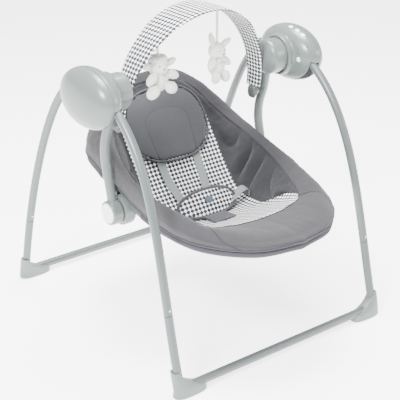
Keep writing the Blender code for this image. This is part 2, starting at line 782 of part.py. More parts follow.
def make_knuckles():
    """The pivoting knuckle on each hub post that carries the top of a front leg."""
    half = 0.0088
    knuckle = rod("knuckle", (LEG_TOP_X - half, HUB.y, HUB.z), (LEG_TOP_X + half, HUB.y, HUB.z), 0.025, 32)
    top, below = leg_line(True)[:2]
    inward = (top - below).normalized()
    neck = [Vector((LEG_TOP_X, HUB.y - 0.012, HUB.z + 0.008)), top + inward * 0.014, top + inward * 0.0005]
    stalk = tube("stalk", neck, TUBE_R - 0.0012, 0, 8)
    plug = tube("plug", [top + inward * 0.004, top, top - inward * 0.022], SPIGOT_R, 0, 10)
    join(knuckle, stalk, plug)
    bore = rod("cut_knuckle", (0.29, HUB.y, HUB.z), (0.33, HUB.y, HUB.z), POST_R + FIT)
    cut(knuckle, bore)
    both_sides(knuckle, "fold_knuckle", "black_plastic", "front_frame")


# ================================================================ swing arms
def arm_route():
    """The arm's axis from inside its head, bowed to the rear, down to the lower disc."""
    top, low = HUB.z, SEAT_PIVOT.z
    drop = top - low
    shape = ((0.02, -0.0105, 0.012), (0.17, -0.0065, 0.018), (0.29, -0.0010, 0.031), (0.44, 0.0, 0.049))
    shape += ((0.58, 0.0, 0.052), (0.73, 0.0, 0.041), (0.87, 0.0, 0.030), (0.98, 0.0, 0.024))
    return [Vector((ARM_X + dx, HUB.y + dy, top - drop * share)) for share, dx, dy in shape]


def make_arms():
    head = turned(
        "swing_arm",
        HUB,
        [
            (HEAD_INNER_X, 0),
            (HEAD_INNER_X + 0.0008, 0.018),
            (HEAD_INNER_X + 0.0045, 0.036),
            (HEAD_INNER_X + 0.0090, 0.0445),
            (HEAD_INNER_X + 0.0150, HEAD_R),
            (HEAD_OUTER_X, HEAD_R),
            (HEAD_OUTER_X, 0),
        ],
        28,
    )
    beam = tube("beam", smooth(arm_route(), 13), ARM_R, 0, 8)
    inner, outer = ARM_DISC
    disc = turned(
        "disc",
        SEAT_PIVOT,
        [
            (inner, 0),
            (inner, ARM_DISC_R - 0.002),
            (inner + 0.002, ARM_DISC_R),
            (outer - 0.003, ARM_DISC_R),
            (outer, ARM_DISC_R - 0.003),
            (outer, 0),
        ],
        24,
    )
    start, end = Vector((RECLINE[0] + PIN_START, *SEAT_PIVOT.yz)), Vector((inner + 0.004, *SEAT_PIVOT.yz))
    pin = rod("pin", start, end, RECLINE_PIN_R)
    arm = join(head, beam, disc, pin)
    start, end = Vector((outer - 0.007, *SEAT_PIVOT.yz)), Vector((outer + 0.01, *SEAT_PIVOT.yz))
    recess = rod("cut_recess", start, end, BUTTON_R + 2 * FIT, 24)
    axle_bore = rod("cut_axle", (HEAD_OUTER_X - 0.0303, HUB.y, HUB.z), (0.30, HUB.y, HUB.z), AXLE_R + FIT)
    bar_bore = rod("cut_bar_pin", (0.230, *BAR_PIVOT.yz), (0.2545, *BAR_PIVOT.yz), BAR_PIN_R + FIT)
    cut(arm, recess, axle_bore, bar_bore)
    both_sides(arm, "swing_arm", "plastic", "swing")

    face = outer + 0.0022
    button = turned(
        "recline",
        SEAT_PIVOT,
        [
            (face - 0.0052, 0),
            (face - 0.0052, BUTTON_R),
            (face - 0.0012, BUTTON_R),
            (face, BUTTON_R - 0.0016),
            (face, 0),
        ],
        24,
    )
    for sign, side in ((1, "right"), (-1, "left")):
        add_body(side + "_recline_button", Vector((sign * outer, SEAT_PIVOT.y, SEAT_PIVOT.z)))
    left = mirrored_copy(button, "left_recline_button")
    button.name = "right_recline_button"
    finish(left, "light_plastic", "left_recline_button")
    finish(button, "light_plastic", "right_recline_button")


# ================================================================ seat
def seat_columns():
    """The seat cover's right half as lines that run from the head end to the foot end.

    They go from the middle of the seat outwards: spine, panel edge, wing seam, top of the rim,
    side of the rim, and the lower edge that wraps the seat loop.
    """
    spine = [(0, 0.180, 0.568), (0, 0.166, 0.547), (0, 0.145, 0.512), (0, 0.112, 0.463), (0, 0.075, 0.405)]
    spine += [(0, 0.025, 0.335), (0, -0.035, 0.279), (0, -0.110, 0.277), (0, -0.190, 0.301)]
    spine += [(0, -0.235, 0.321), (0, -0.262, 0.334)]
    panel = [(0, 0.186, 0.577), (0.068, 0.178, 0.565), (0.112, 0.158, 0.530), (0.138, 0.128, 0.478)]
    panel += [(0.142, 0.085, 0.415), (0.142, 0.030, 0.345), (0.140, -0.030, 0.296), (0.135, -0.120, 0.293)]
    panel += [(0.115, -0.215, 0.322), (0.060, -0.262, 0.336), (0, -0.274, 0.339)]
    seam = [(0, 0.192, 0.586), (0.075, 0.188, 0.576), (0.130, 0.168, 0.542), (0.160, 0.136, 0.500)]
    seam += [(0.185, 0.085, 0.463), (0.203, 0.022, 0.433), (0.209, -0.062, 0.401), (0.196, -0.150, 0.374)]
    seam += [(0.155, -0.251, 0.355), (0.085, -0.279, 0.348), (0, -0.288, 0.345)]
    rim = [(0, 0.207, 0.602), (0.090, 0.204, 0.588), (0.150, 0.182, 0.553), (0.185, 0.146, 0.516)]
    rim += [(0.210, 0.085, 0.472), (0.226, 0.010, 0.438), (0.230, -0.070, 0.414), (0.222, -0.165, 0.397)]
    rim += [(0.188, -0.285, 0.379), (0.105, -0.368, 0.363), (0, -0.392, 0.354)]
    side = [(0, 0.240, 0.525), (0.105, 0.238, 0.515), (0.175, 0.220, 0.490), (0.212, 0.182, 0.470)]
    side += [(0.224, 0.115, 0.442), (0.231, 0.025, 0.414), (0.233, -0.068, 0.386), (0.231, -0.175, 0.367)]
    side += [(0.208, -0.305, 0.361), (0.122, -0.408, 0.355), (0, 0.007 - SEAT_FRONT, 0.350)]
    edge = [(0, 0.252, 0.440), (0.100, 0.246, 0.437), (0.175, 0.232, 0.430), (0.212, 0.196, 0.421)]
    edge += [(0.222, 0.130, 0.407), (0.2245, 0.035, 0.381), (0.225, -0.065, 0.3535), (0.224, -0.180, 0.3385)]
    edge += [(0.205, -0.305, 0.339), (0.120, -0.410, 0.341), (0, -SEAT_FRONT, 0.341)]
    return [[Vector(p) for p in column] for column in (spine, panel, seam, rim, side, edge)]


def seat_rows(rows, between):
    """Points of the right half, rows along the seat and between + 1 steps from column to column."""
    columns = [smooth(column, rows) for column in seat_columns()]
    grid = []
    for row in zip(*columns):
        grid.append(smooth(list(row), (len(row) - 1) * between + 1))
    return grid


def make_cover():
    grid = seat_rows(25, 2)
    bm = bmesh.new()
    rows = [[bm.verts.new(p) for p in row] for row in grid]
    for a, b in zip(rows, rows[1:]):
        for i in range(len(a) - 1):
            bm.faces.new((a[i], b[i], b[i + 1], a[i + 1]))
    cover = object_from_bmesh("seat_cover", bm, closed=False)
    mirror = cover.modifiers.new("halves", "MIRROR")
    mirror.use_axis[0] = True
    mirror.merge_threshold = 1e-4
    apply(cover)
    middle = min(cover.data.polygons, key=lambda face: (face.center - Vector((0, -0.11, 0.277))).length)
    if middle.normal.z < 0:
        cover.data.flip_normals()
    modifier = cover.modifiers.new("cloth", "SOLIDIFY")
    modifier.thickness, modifier.offset = COVER_THICK, -1
    apply(cover)
    return finish(cover, "fabric", "seat")


LOOP_POINTS = [Vector(p) for p in (
    (0, 0.0090 - SEAT_FRONT, 0.3290), (0.115, -0.4020, 0.3290), (0.197, -0.3000, 0.3265),
    (0.2160, -0.1800, 0.3260), (0.2170, -0.0650, 0.3370), (0.2170, 0.0, 0.3500), (0.2160, 0.0600, 0.3665),
    (0.2130, 0.1250, 0.3900), (0.2030, 0.1900, 0.4070), (0.1680, 0.2240, 0.4160), (0.0970, 0.2390, 0.4240),
    (0, 0.2450, 0.4270),
)]
LOOP = smooth(LOOP_POINTS, 21)
BACK_TUBE_POINTS = [Vector(p) for p in (
    (0.2010, 0.0900, 0.4030), (0.1960, 0.1120, 0.4380), (0.1840, 0.1480, 0.4820), (0.1500, 0.1850, 0.5200),
    (0.0850, 0.2050, 0.5480), (0, 0.2070, 0.5600),
)]


def make_seat_tubes():
    inside = 0.030  # how far each tube reaches into the recline housing from the pivot
    front = [p for p in LOOP if p.y < SEAT_PIVOT.y - inside]
    rear = [p for p in LOOP if p.y > SEAT_PIVOT.y + inside]
    front_tube = tube("seat_front_tube", mirror_x(front[1:]) + front, LOOP_R, 0.001, 8)
    finish(front_tube, "painted_tube", "seat")
    rear_tube = tube("seat_rear_tube", rear + mirror_x(rear[:-1]), LOOP_R, 0.001, 8)
    finish(rear_tube, "painted_tube", "seat")
    back = smooth(BACK_TUBE_POINTS, 9)
    back_tube = tube("seat_back_tube", back + mirror_x(back[:-1]), BACK_TUBE_R, 0.001, 8)
    finish(back_tube, "painted_tube", "seat")


def make_recline_housings():
    inner, outer = RECLINE
    housing = turned(
        "recline_housing",
        SEAT_PIVOT,
        [
            (inner, 0),
            (inner, RECLINE_R - 0.006),
            (inner + 0.004, RECLINE_R - 0.001),
            (inner + 0.008, RECLINE_R),
            (outer - 0.002, RECLINE_R),
            (outer, RECLINE_R - 0.002),
            (outer, 0),
        ],
        24,
    )
    near = [p for p in LOOP if abs(p.y - SEAT_PIVOT.y) < 0.10]
    channel = tube("cut_loop", near, LOOP_R + FIT, 0, 8)
    start, end = Vector((inner + PIN_START - FIT, *SEAT_PIVOT.yz)), Vector((outer + 0.01, *SEAT_PIVOT.yz))
    bore = rod("cut_pivot", start, end, RECLINE_PIN_R + FIT)
    cut(housing, channel, bore)
    both_sides(housing, "recline_housing", "plastic", "seat")


# ---------------------------------------------------------------- harness and pads
class SeatFace:
    """Finds points on the cover's inside, from a run along the seat's centre line and a distance across it."""

    def __init__(self, cover):
        bm = bmesh.new()
        bm.from_mesh(cover.data)
        self.tree = BVHTree.FromBMesh(bm)
        bm.free()
        self.line = smooth(seat_columns()[0], 80)
        self.runs = [0.0]
        for a, b in zip(self.line, self.line[1:]):
            self.runs.append(self.runs[-1] + (b - a).length)

    def frame(self, run):
        """Place, direction and inward normal of the centre line, run metres from its head end."""
        i = next((k for k in range(1, len(self.runs) - 1) if self.runs[k] >= run), len(self.runs) - 2)
        t = (run - self.runs[i - 1]) / (self.runs[i] - self.runs[i - 1])
        place = self.line[i - 1].lerp(self.line[i], t)
        ahead = (self.line[min(i + 1, len(self.line) - 1)] - self.line[max(i - 2, 0)]).normalized()
        return place, ahead, X_AXIS.cross(ahead)

    def point(self, x, run, lift):
        place, _, normal = self.frame(run)
        if normal.z < 0:
            normal = -normal
        start = place + X_AXIS * x + normal * 0.09
        hit = self.tree.ray_cast(start, -normal)[0]
        return (hit if hit is not None else place + X_AXIS * x) + normal * lift


def pad(name, place, half_wide, half_tall, thick, rings=3, count=24, power=2.5):
    """A crowned pad; place(x, along, lift) puts its flat coordinates in the seat."""
    made = []
    for k in range(-rings, rings + 1):
        angle = math.pi / 2 * k / (rings + 0.35)
        share, lift = math.cos(angle) ** 0.6, math.sin(angle)
        ring = []
        for i in range(count):
            a = math.tau * i / count
            x, along = rounded(a, half_wide * share, half_tall * share, power)
            ring.append(place(x, along, lift * thick / 2))
        made.append(ring)
    return loft(name, made)


def make_headrest(face):
    rise = HEADREST_THICK / 2 + PAD_GAP
    headrest = pad(
        "headrest_pad",
        lambda x, along, n: face.point(x, HEADREST_RUN - along, rise + n),
        HEADREST_HALF_WIDTH,
        HEADREST_HALF_LENGTH,
        HEADREST_THICK,
        3,
        28,
    )
    finish(headrest, "pad_fabric", "seat")


def make_harness(face):
    """Shoulder and waist straps that meet at a buckle, under a wide lap pad."""
    lift = PAD_GAP + WEBBING_THICK / 2
    for sign, side in ((1, "right"), (-1, "left")):
        route = [face.point(sign * x, run, lift + extra) for x, run, extra in SHOULDER_ROUTE]
        strap = ribbon(side + "_shoulder_strap", smooth(route, 9), [WEBBING] * 9, WEBBING_THICK)
        finish(strap, "webbing", "seat")
        route = [face.point(sign * x, run, lift + extra) for x, run, extra in WAIST_ROUTE]
        along = face.frame(WAIST_ROUTE[0][1])[1]
        belt = ribbon(side + "_waist_strap", smooth(route, 9), [WEBBING] * 9, WEBBING_THICK, along)
        finish(belt, "webbing", "seat")

    place = face.point(0, BUCKLE_RUN, PAD_GAP)
    ahead = face.frame(BUCKLE_RUN)[1]
    normal = X_AXIS.cross(ahead)
    normal = normal if normal.z > 0 else -normal
    turn = Matrix((X_AXIS, normal.cross(X_AXIS), normal)).transposed().to_4x4()
    stand = Matrix.Translation(place) @ turn
    buckle = box("buckle", (-0.028, -0.0185, 0.0012), (0.028, 0.0185, BUCKLE_THICK), 0.003)
    well = rod("cut_buckle", (0, 0, BUCKLE_THICK - 0.0040), (0, 0, 0.05), 0.0088, 20)
    cut(buckle, well)
    button = rod("buckle_button", (0, 0, BUCKLE_THICK - 0.0014), (0, 0, BUCKLE_THICK + 0.0016), 0.0082, 20)
    for piece in (buckle, button, well):
        piece.data.transform(stand)
    finish(buckle, "black_plastic", "seat")
    add_body("buckle_button", stand @ Vector((0, 0, BUCKLE_THICK)))
    finish(button, "plastic_dark", "buckle_button")

    up, out = Vector((0, 0.60, 0.80)), Vector((0, -0.80, 0.60))
    crotch = pad(
        "crotch_pad",
        lambda x, along, n: LAP_PAD + X_AXIS * x + up * along + out * n,
        *LAP_PAD_SIZE,
        3,
        20,
        2.2,
    )
    finish(crotch, "pattern_fabric", "seat")


# ================================================================ toy bar
def bar_point(angle):
    """Middle of the fabric band at angle, 0 at the right foot and pi at the left."""
    return Vector((
        BAR_HALF_SPAN * math.cos(angle),
        BAR_FOOT_Y - BAR_LEAN * math.sin(angle),
        BAR_FOOT_Z + BAR_RISE * math.sin(angle),
    ))


def bar_half_width(angle):
    return BAR_HALF_WIDTH + BAR_CROWN_EXTRA * math.sin(angle) ** 2


LAMB_X, RABBIT_X = -0.122, 0.060


def bar_angle_at(x):
    return math.acos(x / BAR_HALF_SPAN)


def bar_underside(x):
    return bar_point(bar_angle_at(x)) - Z_AXIS * (BAR_THICK / 2 / math.sin(bar_angle_at(x)) + 0.0025)


LAMB_HANG, RABBIT_HANG = bar_underside(LAMB_X), bar_underside(RABBIT_X)


def make_toy_bar():
    steps, corners = 30, 8
    rings = []
    for k in range(steps + 1):
        angle = math.pi * k / steps
        point, half = bar_point(angle), bar_half_width(angle)
        out = Vector((math.cos(angle) / BAR_HALF_SPAN, 0, math.sin(angle) / BAR_RISE)).normalized()
        ring = []
        for i in range(corners):
            a = math.tau * (i + 0.5) / corners
            across = math.copysign(abs(math.cos(a)) ** 0.35, math.cos(a)) * half
            ring.append(point + Y_AXIS * across + out * (math.sin(a) * BAR_THICK / 2))
        rings.append(ring)
    finish(loft("toy_bar", rings), "pattern_fabric", "toy_bar")

    foot = bar_point(0.0)
    tongue = pad(
        "bar_clip",
        lambda x, along, n: Vector((BAR_HALF_SPAN + n, foot.y + 0.004 + x, BAR_FOOT_Z - 0.0185 + along)),
        0.0165,
        0.0180,
        0.0090,
        2,
        20,
    )
    arm_side = ARM_X - ARM_R - 0.0012
    boss = rod("boss", (BAR_HALF_SPAN, *BAR_PIVOT.yz), (arm_side, *BAR_PIVOT.yz), 0.0130, 20, 0.0075)
    pin = rod("pin", (arm_side - 0.002, *BAR_PIVOT.yz), (ARM_X - 0.0005, *BAR_PIVOT.yz), BAR_PIN_R, 16)
    join(tongue, boss, pin)
    both_sides(tongue, "bar_clip", "plastic", "toy_bar")


def make_toys():
    """Two soft toys, each one stuffed body on a short hanging loop."""
    top = LAMB_HANG
    centre = Vector((top.x, top.y, 0.700))
    lamb = ellipsoid("lamb_toy", centre, (0.030, 0.027, 0.029))
    join(
        lamb,
        ellipsoid("body", centre + Vector((0.002, 0.004, -0.044)), (0.030, 0.026, 0.030)),
        ellipsoid("foot_a", centre + Vector((-0.024, -0.018, -0.066)), (0.015, 0.017, 0.017), 0, 8),
        ellipsoid("foot_b", centre + Vector((0.022, -0.018, -0.064)), (0.015, 0.017, 0.017), 0, 8),
        ellipsoid("ear_a", centre + Vector((-0.034, 0, 0.004)), (0.014, 0.006, 0.007), 0, 8),
        ellipsoid("ear_b", centre + Vector((0.034, 0, 0.004)), (0.014, 0.006, 0.007), 0, 8),
        rod("loop", centre + Z_AXIS * 0.02, top, 0.0022, 8),
    )
    finish(lamb, "plush", "lamb")

    top = RABBIT_HANG
    centre = Vector((top.x, top.y, 0.706))
    rabbit = ellipsoid("rabbit_toy", centre, (0.026, 0.024, 0.024))
    join(
        rabbit,
        ellipsoid("body", centre + Vector((0, 0.003, -0.042)), (0.025, 0.023, 0.030)),
        ellipsoid("foot_a", centre + Vector((-0.014, -0.013, -0.070)), (0.012, 0.014, 0.016), 0, 8),
        ellipsoid("foot_b", centre + Vector((0.018, -0.014, -0.072)), (0.012, 0.014, 0.016), 0, 8),
        ellipsoid("ear_a", centre + Vector((-0.016, 0.002, 0.032)), (0.008, 0.005, 0.022), -0.3, 8),
        ellipsoid("ear_b", centre + Vector((0.026, 0.002, 0.024)), (0.008, 0.005, 0.022), 0.9, 8),
        rod("loop", centre + Z_AXIS * 0.018, top, 0.0022, 8),
    )
    finish(rabbit, "plush", "rabbit")


# ================================================================ assembly
def centre_everything():
    """Hangs every body's empty from one that stands the object over the origin."""
    origin = bpy.data.objects.new("model_origin", None)
    CUTTERS.objects.link(origin)
    for empty in BODIES.values():
        empty.parent = origin
    origin.location = (0, CENTRE_SHIFT, 0)
    bpy.context.view_layer.update()


def main():
    start_scene()
    make_bodies()
    make_frame_half(True)
    make_frame_half(False)
    make_hubs()
    make_arms()
    face = SeatFace(make_cover())
    make_seat_tubes()
    make_recline_housings()
    make_headrest(face)
    make_harness(face)
    make_toy_bar()
    make_toys()
    centre_everything()


main()
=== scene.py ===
"""Finished look of the baby swing: moulded hubs and arms, coated tube frame, sewn hammock seat and soft toys."""

import math

import bmesh
import bpy
from bpy.props import FloatProperty, FloatVectorProperty, IntProperty, PointerProperty, StringProperty
from mathutils import Matrix, Vector, noise
from mathutils.bvhtree import BVHTree


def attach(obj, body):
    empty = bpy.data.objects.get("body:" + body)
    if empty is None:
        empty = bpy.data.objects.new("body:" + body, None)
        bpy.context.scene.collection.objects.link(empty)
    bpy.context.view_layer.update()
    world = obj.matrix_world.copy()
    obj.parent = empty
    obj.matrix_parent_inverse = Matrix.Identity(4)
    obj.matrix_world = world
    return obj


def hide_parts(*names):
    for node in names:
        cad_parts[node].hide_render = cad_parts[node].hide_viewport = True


bl_info = {
    "name": "Baby Swing Finish",
    "version": (1, 0, 0),
    "blender": (4, 5, 0),
    "location": "3D View > Sidebar > Swing",
    "description": "Builds the visible pieces of a folding baby swing over its solid frame",
    "category": "Object",
}

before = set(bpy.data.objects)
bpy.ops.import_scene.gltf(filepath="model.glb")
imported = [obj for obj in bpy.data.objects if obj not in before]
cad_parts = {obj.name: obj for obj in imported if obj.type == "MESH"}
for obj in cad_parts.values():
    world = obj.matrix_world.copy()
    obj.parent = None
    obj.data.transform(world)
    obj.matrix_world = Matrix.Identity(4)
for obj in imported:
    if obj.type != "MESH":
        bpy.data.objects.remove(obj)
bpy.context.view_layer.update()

# ---------------------------------------------------------------- sizes, in metres
TUBE_R = 0.011
HALF_TRACK = 0.325
HALF_BASE = 0.379
FLOOR_AXIS = 0.021
BEND_TANGENT = 0.036
SNAP_Z = 0.217
JOINT_Z = 0.203
SHIFT = (0.442 - 0.394) / 2  # the seat reaches further forward than the frame, so all is moved back
X_AXIS, Y_AXIS, Z_AXIS = Vector((1, 0, 0)), Vector((0, 1, 0)), Vector((0, 0, 1))
HUB = Vector((0.3205, -0.018 + SHIFT, 0.657))
HUB_OUT, HUB_LONG, HUB_TALL, HUB_POWER = 0.0485, 0.110, 0.0755, 2.3
SEAM_X, LEG_TOP_X, COLLAR_X, COLLAR_ROOT_X = 0.3235, 0.3105, 0.2665, 0.2845
COLLAR_R, RECESS_R = 0.0545, 0.0487
HEAD_R, HEAD_INNER_X, HEAD_OUTER_X = 0.0472, 0.2175, 0.2740
ARM_X, ARM_R = 0.2535, 0.0125
SEAT_PIVOT = Vector((0.2535, 0.005 + SHIFT, 0.327))
ARM_DISC_R, ARM_DISC = 0.0325, (0.2400, 0.2710)
BUTTON_R = 0.0265
BAR_PIVOT = Vector((0.2535, 0.020 + SHIFT, 0.553))
RECLINE_R, RECLINE = 0.040, (0.2055, 0.2385)
LOOP_R = 0.008
BAR_HALF_SPAN, BAR_FOOT_Z, BAR_RISE, BAR_FOOT_Y, BAR_LEAN = 0.220, 0.570, 0.262, 0.020 + SHIFT, 0.045
BAR_HALF_WIDTH, BAR_CROWN_EXTRA, BAR_THICK = 0.028, 0.034, 0.008
SEAT_FRONT = 0.442
WEBBING = 0.025


# ================================================================ settings
class SwingColours(bpy.types.PropertyGroup):
    """Colours of the swing's finishes, as sRGB hex."""

    plastic: StringProperty(name="Housing plastic", description="Hubs, arms and feet", default="#5C6462")
    tube: StringProperty(name="Frame coat", description="Powder coat on the tubes", default="#585E5E")
    button: StringProperty(name="Buttons", description="Near-white push buttons", default="#E4E6E4")
    rim: StringProperty(name="Rim fabric", description="Seat rim and front panel", default="#39383B")
    wing: StringProperty(name="Wing fabric", description="Gathered sides inside the seat", default="#2C2C2F")
    headrest: StringProperty(name="Headrest fabric", description="Head cushion", default="#3C3C3F")
    print_dark: StringProperty(name="Print, dark", description="Ground of the star print", default="#303338")
    print_light: StringProperty(name="Print, light", description="Stars of the print", default="#EDEDED")
    webbing: StringProperty(name="Webbing", description="Harness straps", default="#6C7471")
    piping: StringProperty(name="Piping", description="Bound edges", default="#2C2C30")
    plush: StringProperty(name="Plush", description="Soft toys", default="#D2D2CE")


class SwingSizes(bpy.types.PropertyGroup):
    """Sizes of the surface detail that a user may want to change."""

    print_pitch: FloatProperty(
        name="Print pitch", description="Spacing of the stars", default=0.0118, unit="LENGTH", min=0.005
    )
    pleats: IntProperty(name="Pleats", description="Gathers along each inner wing", default=11, min=0, max=60)
    puff: FloatProperty(name="Puff", description="Pressure that fills the pads", default=4.0, min=0.0, max=10.0)
    camera_place: FloatVectorProperty(
        name="Camera", description="Place of the camera", default=(-1.5982, -2.1317 + SHIFT, 1.5066), unit="LENGTH"
    )
    camera_lens: FloatProperty(name="Lens", description="Focal length in millimetres", default=97.05)


def colours():
    return bpy.context.scene.swing_colours


def sizes():
    return bpy.context.scene.swing_sizes


# ================================================================ modelling helpers
def deselect():
    bpy.ops.object.select_all(action="DESELECT")


def activate(obj):
    deselect()
    obj.select_set(True)
    bpy.context.view_layer.objects.active = obj
    return obj


def apply_all(obj):
    activate(obj)
    for modifier in list(obj.modifiers):
        bpy.ops.object.modifier_apply(modifier=modifier.name)
    return obj


def bake_place(obj):
    activate(obj)
    bpy.ops.object.transform_apply(location=True, rotation=True, scale=True)
    return obj


def smooth_shade(obj, angle=40):
    activate(obj)
    bpy.ops.object.shade_smooth_by_angle(angle=math.radians(angle))
    return obj


def from_bmesh(name, bm, recalculate=True):
    bmesh.ops.remove_doubles(bm, verts=bm.verts, dist=1e-6)
    if recalculate:
        bmesh.ops.recalc_face_normals(bm, faces=bm.faces)
    mesh = bpy.data.meshes.new(name)
    bm.to_mesh(mesh)
    bm.free()
    obj = bpy.data.objects.new(name, mesh)
    bpy.context.scene.collection.objects.link(obj)
    return obj


def add_modifier(obj, kind, **settings):
    modifier = obj.modifiers.new(kind.lower(), kind)
    for key, value in settings.items():
        setattr(modifier, key, value)
    return modifier


def bevel(obj, width, segments=3, angle=30):
    add_modifier(obj, "BEVEL", width=width, segments=segments, limit_method="ANGLE", angle_limit=math.radians(angle))
    return apply_all(obj)


def boolean(obj, others, operation="DIFFERENCE"):
    for other in others:
        add_modifier(obj, "BOOLEAN", operation=operation, solver="EXACT", object=other)
        apply_all(obj)
        bpy.data.objects.remove(other)
    return obj


def box(name, low, high, round_edge=0.0, segments=3):
    low, high = Vector(low), Vector(high)
    deselect()
    bpy.ops.mesh.primitive_cube_add(size=1, location=(low + high) / 2)
    obj = bpy.context.active_object
    obj.name = name
    obj.scale = high - low
    bake_place(obj)
    if round_edge:
        bevel(obj, round_edge, segments)
    return obj


def rod(name, start, end, radius, segments=48):
    start, end = Vector(start), Vector(end)
    run = end - start
    deselect()
    bpy.ops.mesh.primitive_cylinder_add(
        vertices=segments,
        radius=radius,
        depth=run.length,
        location=(start + end) / 2,
        rotation=run.to_track_quat("Z", "Y").to_euler(),
    )
    obj = bpy.context.active_object
    obj.name = name
    return bake_place(obj)


def ball(name, centre, radii, turn=(0, 0, 0), segments=32):
    deselect()
    bpy.ops.mesh.primitive_uv_sphere_add(
        segments=segments, ring_count=segments // 2, radius=1, location=centre, rotation=turn
    )
    obj = bpy.context.active_object
    obj.name = name
    obj.scale = radii
    return bake_place(obj)


def turned(name, centre, profile, segments=96):
    """A ring extruded and resized along the X-wise profile of (x, radius) pairs, closed at both ends."""
    deselect()
    x, radius = profile[0]
    bpy.ops.mesh.primitive_circle_add(
        vertices=segments,
        radius=max(radius, 1e-4),
        fill_type="NGON",
        location=(x, centre[1], centre[2]),
        rotation=(0, math.pi / 2, 0),
    )
    obj = bpy.context.active_object
    obj.name = name
    bake_place(obj)
    activate(obj)
    bpy.ops.object.mode_set(mode="EDIT")
    bpy.ops.mesh.select_all(action="SELECT")
    for (x0, r0), (x1, r1) in zip(profile, profile[1:]):
        bpy.ops.mesh.extrude_region_move(TRANSFORM_OT_translate={"value": (x1 - x0, 0, 0)})
        scale = max(r1, 1e-4) / max(r0, 1e-4)
        bpy.ops.transform.resize(value=(1, scale, scale), center_override=(x1, centre[1], centre[2]))
    bpy.ops.mesh.select_all(action="SELECT")
    bpy.ops.mesh.normals_make_consistent(inside=False)
    bpy.ops.object.mode_set(mode="OBJECT")
    return obj


def curve_tube(name, points, radius, sides=32, cyclic=False, radii=None):
    """A round tube along points, as a mesh with closed ends."""
    curve = bpy.data.curves.new(name, "CURVE")
    curve.dimensions = "3D"
    curve.bevel_depth = radius
    curve.bevel_resolution = sides // 4
    curve.use_fill_caps = not cyclic
    spline = curve.splines.new("POLY")
    spline.points.add(len(points) - 1)
    spline.use_cyclic_u = cyclic
    for i, (point, place) in enumerate(zip(spline.points, points)):
        point.co = (*place, 1)
        point.radius = radii[i] if radii else 1.0
    obj = bpy.data.objects.new(name, curve)
    bpy.context.scene.collection.objects.link(obj)
    activate(obj)
    bpy.ops.object.convert(target="MESH")
    obj = bpy.context.active_object
    activate(obj)
    bpy.ops.object.mode_set(mode="EDIT")
    bpy.ops.mesh.select_all(action="SELECT")
    bpy.ops.mesh.remove_doubles(threshold=1e-6)
    bpy.ops.mesh.normals_make_consistent(inside=False)
    bpy.ops.object.mode_set(mode="OBJECT")
    return obj


def loft(name, rings, capped=True):
    """A skin over rings of equal point counts; the first and last rings are closed when capped."""
    bm = bmesh.new()
    rows = [[bm.verts.new(point) for point in ring] for ring in rings]
    count = len(rows[0])
    for a, b in zip(rows, rows[1:]):
        for i in range(count):
            j = (i + 1) % count
            bm.faces.new((a[i], a[j], b[j], b[i]))
    if capped:
        bm.faces.new(rows[0])
        bm.faces.new(rows[-1])
    return from_bmesh(name, bm)


def bezier(p0, p1, p2, p3, t):
    s = 1 - t
    return p0 * s**3 + p1 * (3 * s * s * t) + p2 * (3 * s * t * t) + p3 * t**3


def catmull(points, u):
    """A point on the Catmull-Rom curve through points, at parameter u from 0 to 1."""
    u = min(max(u, 0.0), 1.0) * (len(points) - 1)
    i = min(int(u), len(points) - 2)
    t = u - i
    p1, p2 = points[i], points[i + 1]
    p0 = points[i - 1] if i else p1 * 2 - p2
    p3 = points[i + 2] if i + 2 < len(points) else p2 * 2 - p1
    return (p1 * 2 + (p2 - p0) * t + (p0 * 2 - p1 * 5 + p2 * 4 - p3) * t**2 + (p1 * 3 - p0 - p2 * 3 + p3) * t**3) / 2


def smooth(points, count):
    return [catmull(points, k / (count - 1)) for k in range(count)]


def mirror_x(points):
    return [Vector((-p.x, p.y, p.z)) for p in reversed(points)]


def mirrored_copy(obj, name):
    mesh = obj.data.copy()
    mesh.transform(Matrix.Diagonal((-1, 1, 1, 1)))
    mesh.flip_normals()
    copy = bpy.data.objects.new(name, mesh)
    bpy.context.scene.collection.objects.link(copy)
    return copy


def place_piece(obj, material, body, *nodes, slot=None):
    """Gives a finished piece its material, its body and the CAD nodes that it stands for."""
    if material is not None:
        obj.data.materials.clear()
        obj.data.materials.append(material)
    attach(obj, body)
    if nodes:
        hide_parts(*nodes)
    return obj


def both_sides(obj, base, material, body, nodes=(), slot=None):
    """obj is the right-hand piece; its mirror image becomes the left-hand one."""
    obj.name = "look_right_" + base
    left = mirrored_copy(obj, "look_left_" + base)
    place_piece(obj, material, body, *["right_" + n for n in nodes], slot=slot)
    place_piece(left, material, body, *["left_" + n for n in nodes], slot=slot)
    for piece in (obj, left):
        for polygon in piece.data.polygons:
            polygon.use_smooth = True
        smooth_shade(piece)


# ================================================================ materials
def linear(hex_colour):
    """sRGB hex to a linear colour with alpha."""
    made = []
    for k in (1, 3, 5):
        value = int(hex_colour[k : k + 2], 16) / 255
        made.append(value / 12.92 if value <= 0.04045 else ((value + 0.055) / 1.055) ** 2.4)
    return (*made, 1.0)


def node(tree, kind, links=None, **settings):
    """Adds one shader node, with its settings, its socket values and its links."""
    made = tree.nodes.new(kind)
    for key, value in settings.items():
        setattr(made, key, value)
    for socket, source in (links or {}).items():
        if isinstance(source, bpy.types.NodeSocket):
            tree.links.new(source, made.inputs[socket])
        else:
            made.inputs[socket].default_value = source
    return made


def new_material(name, colour, roughness, **sockets):
    material = bpy.data.materials.new(name)
    material.use_nodes = True
    shader = material.node_tree.nodes["Principled BSDF"]
    shader.inputs["Base Color"].default_value = linear(colour)
    shader.inputs["Roughness"].default_value = roughness
    for key, value in sockets.items():
        shader.inputs[key.replace("_", " ")].default_value = value
    return material, material.node_tree, shader


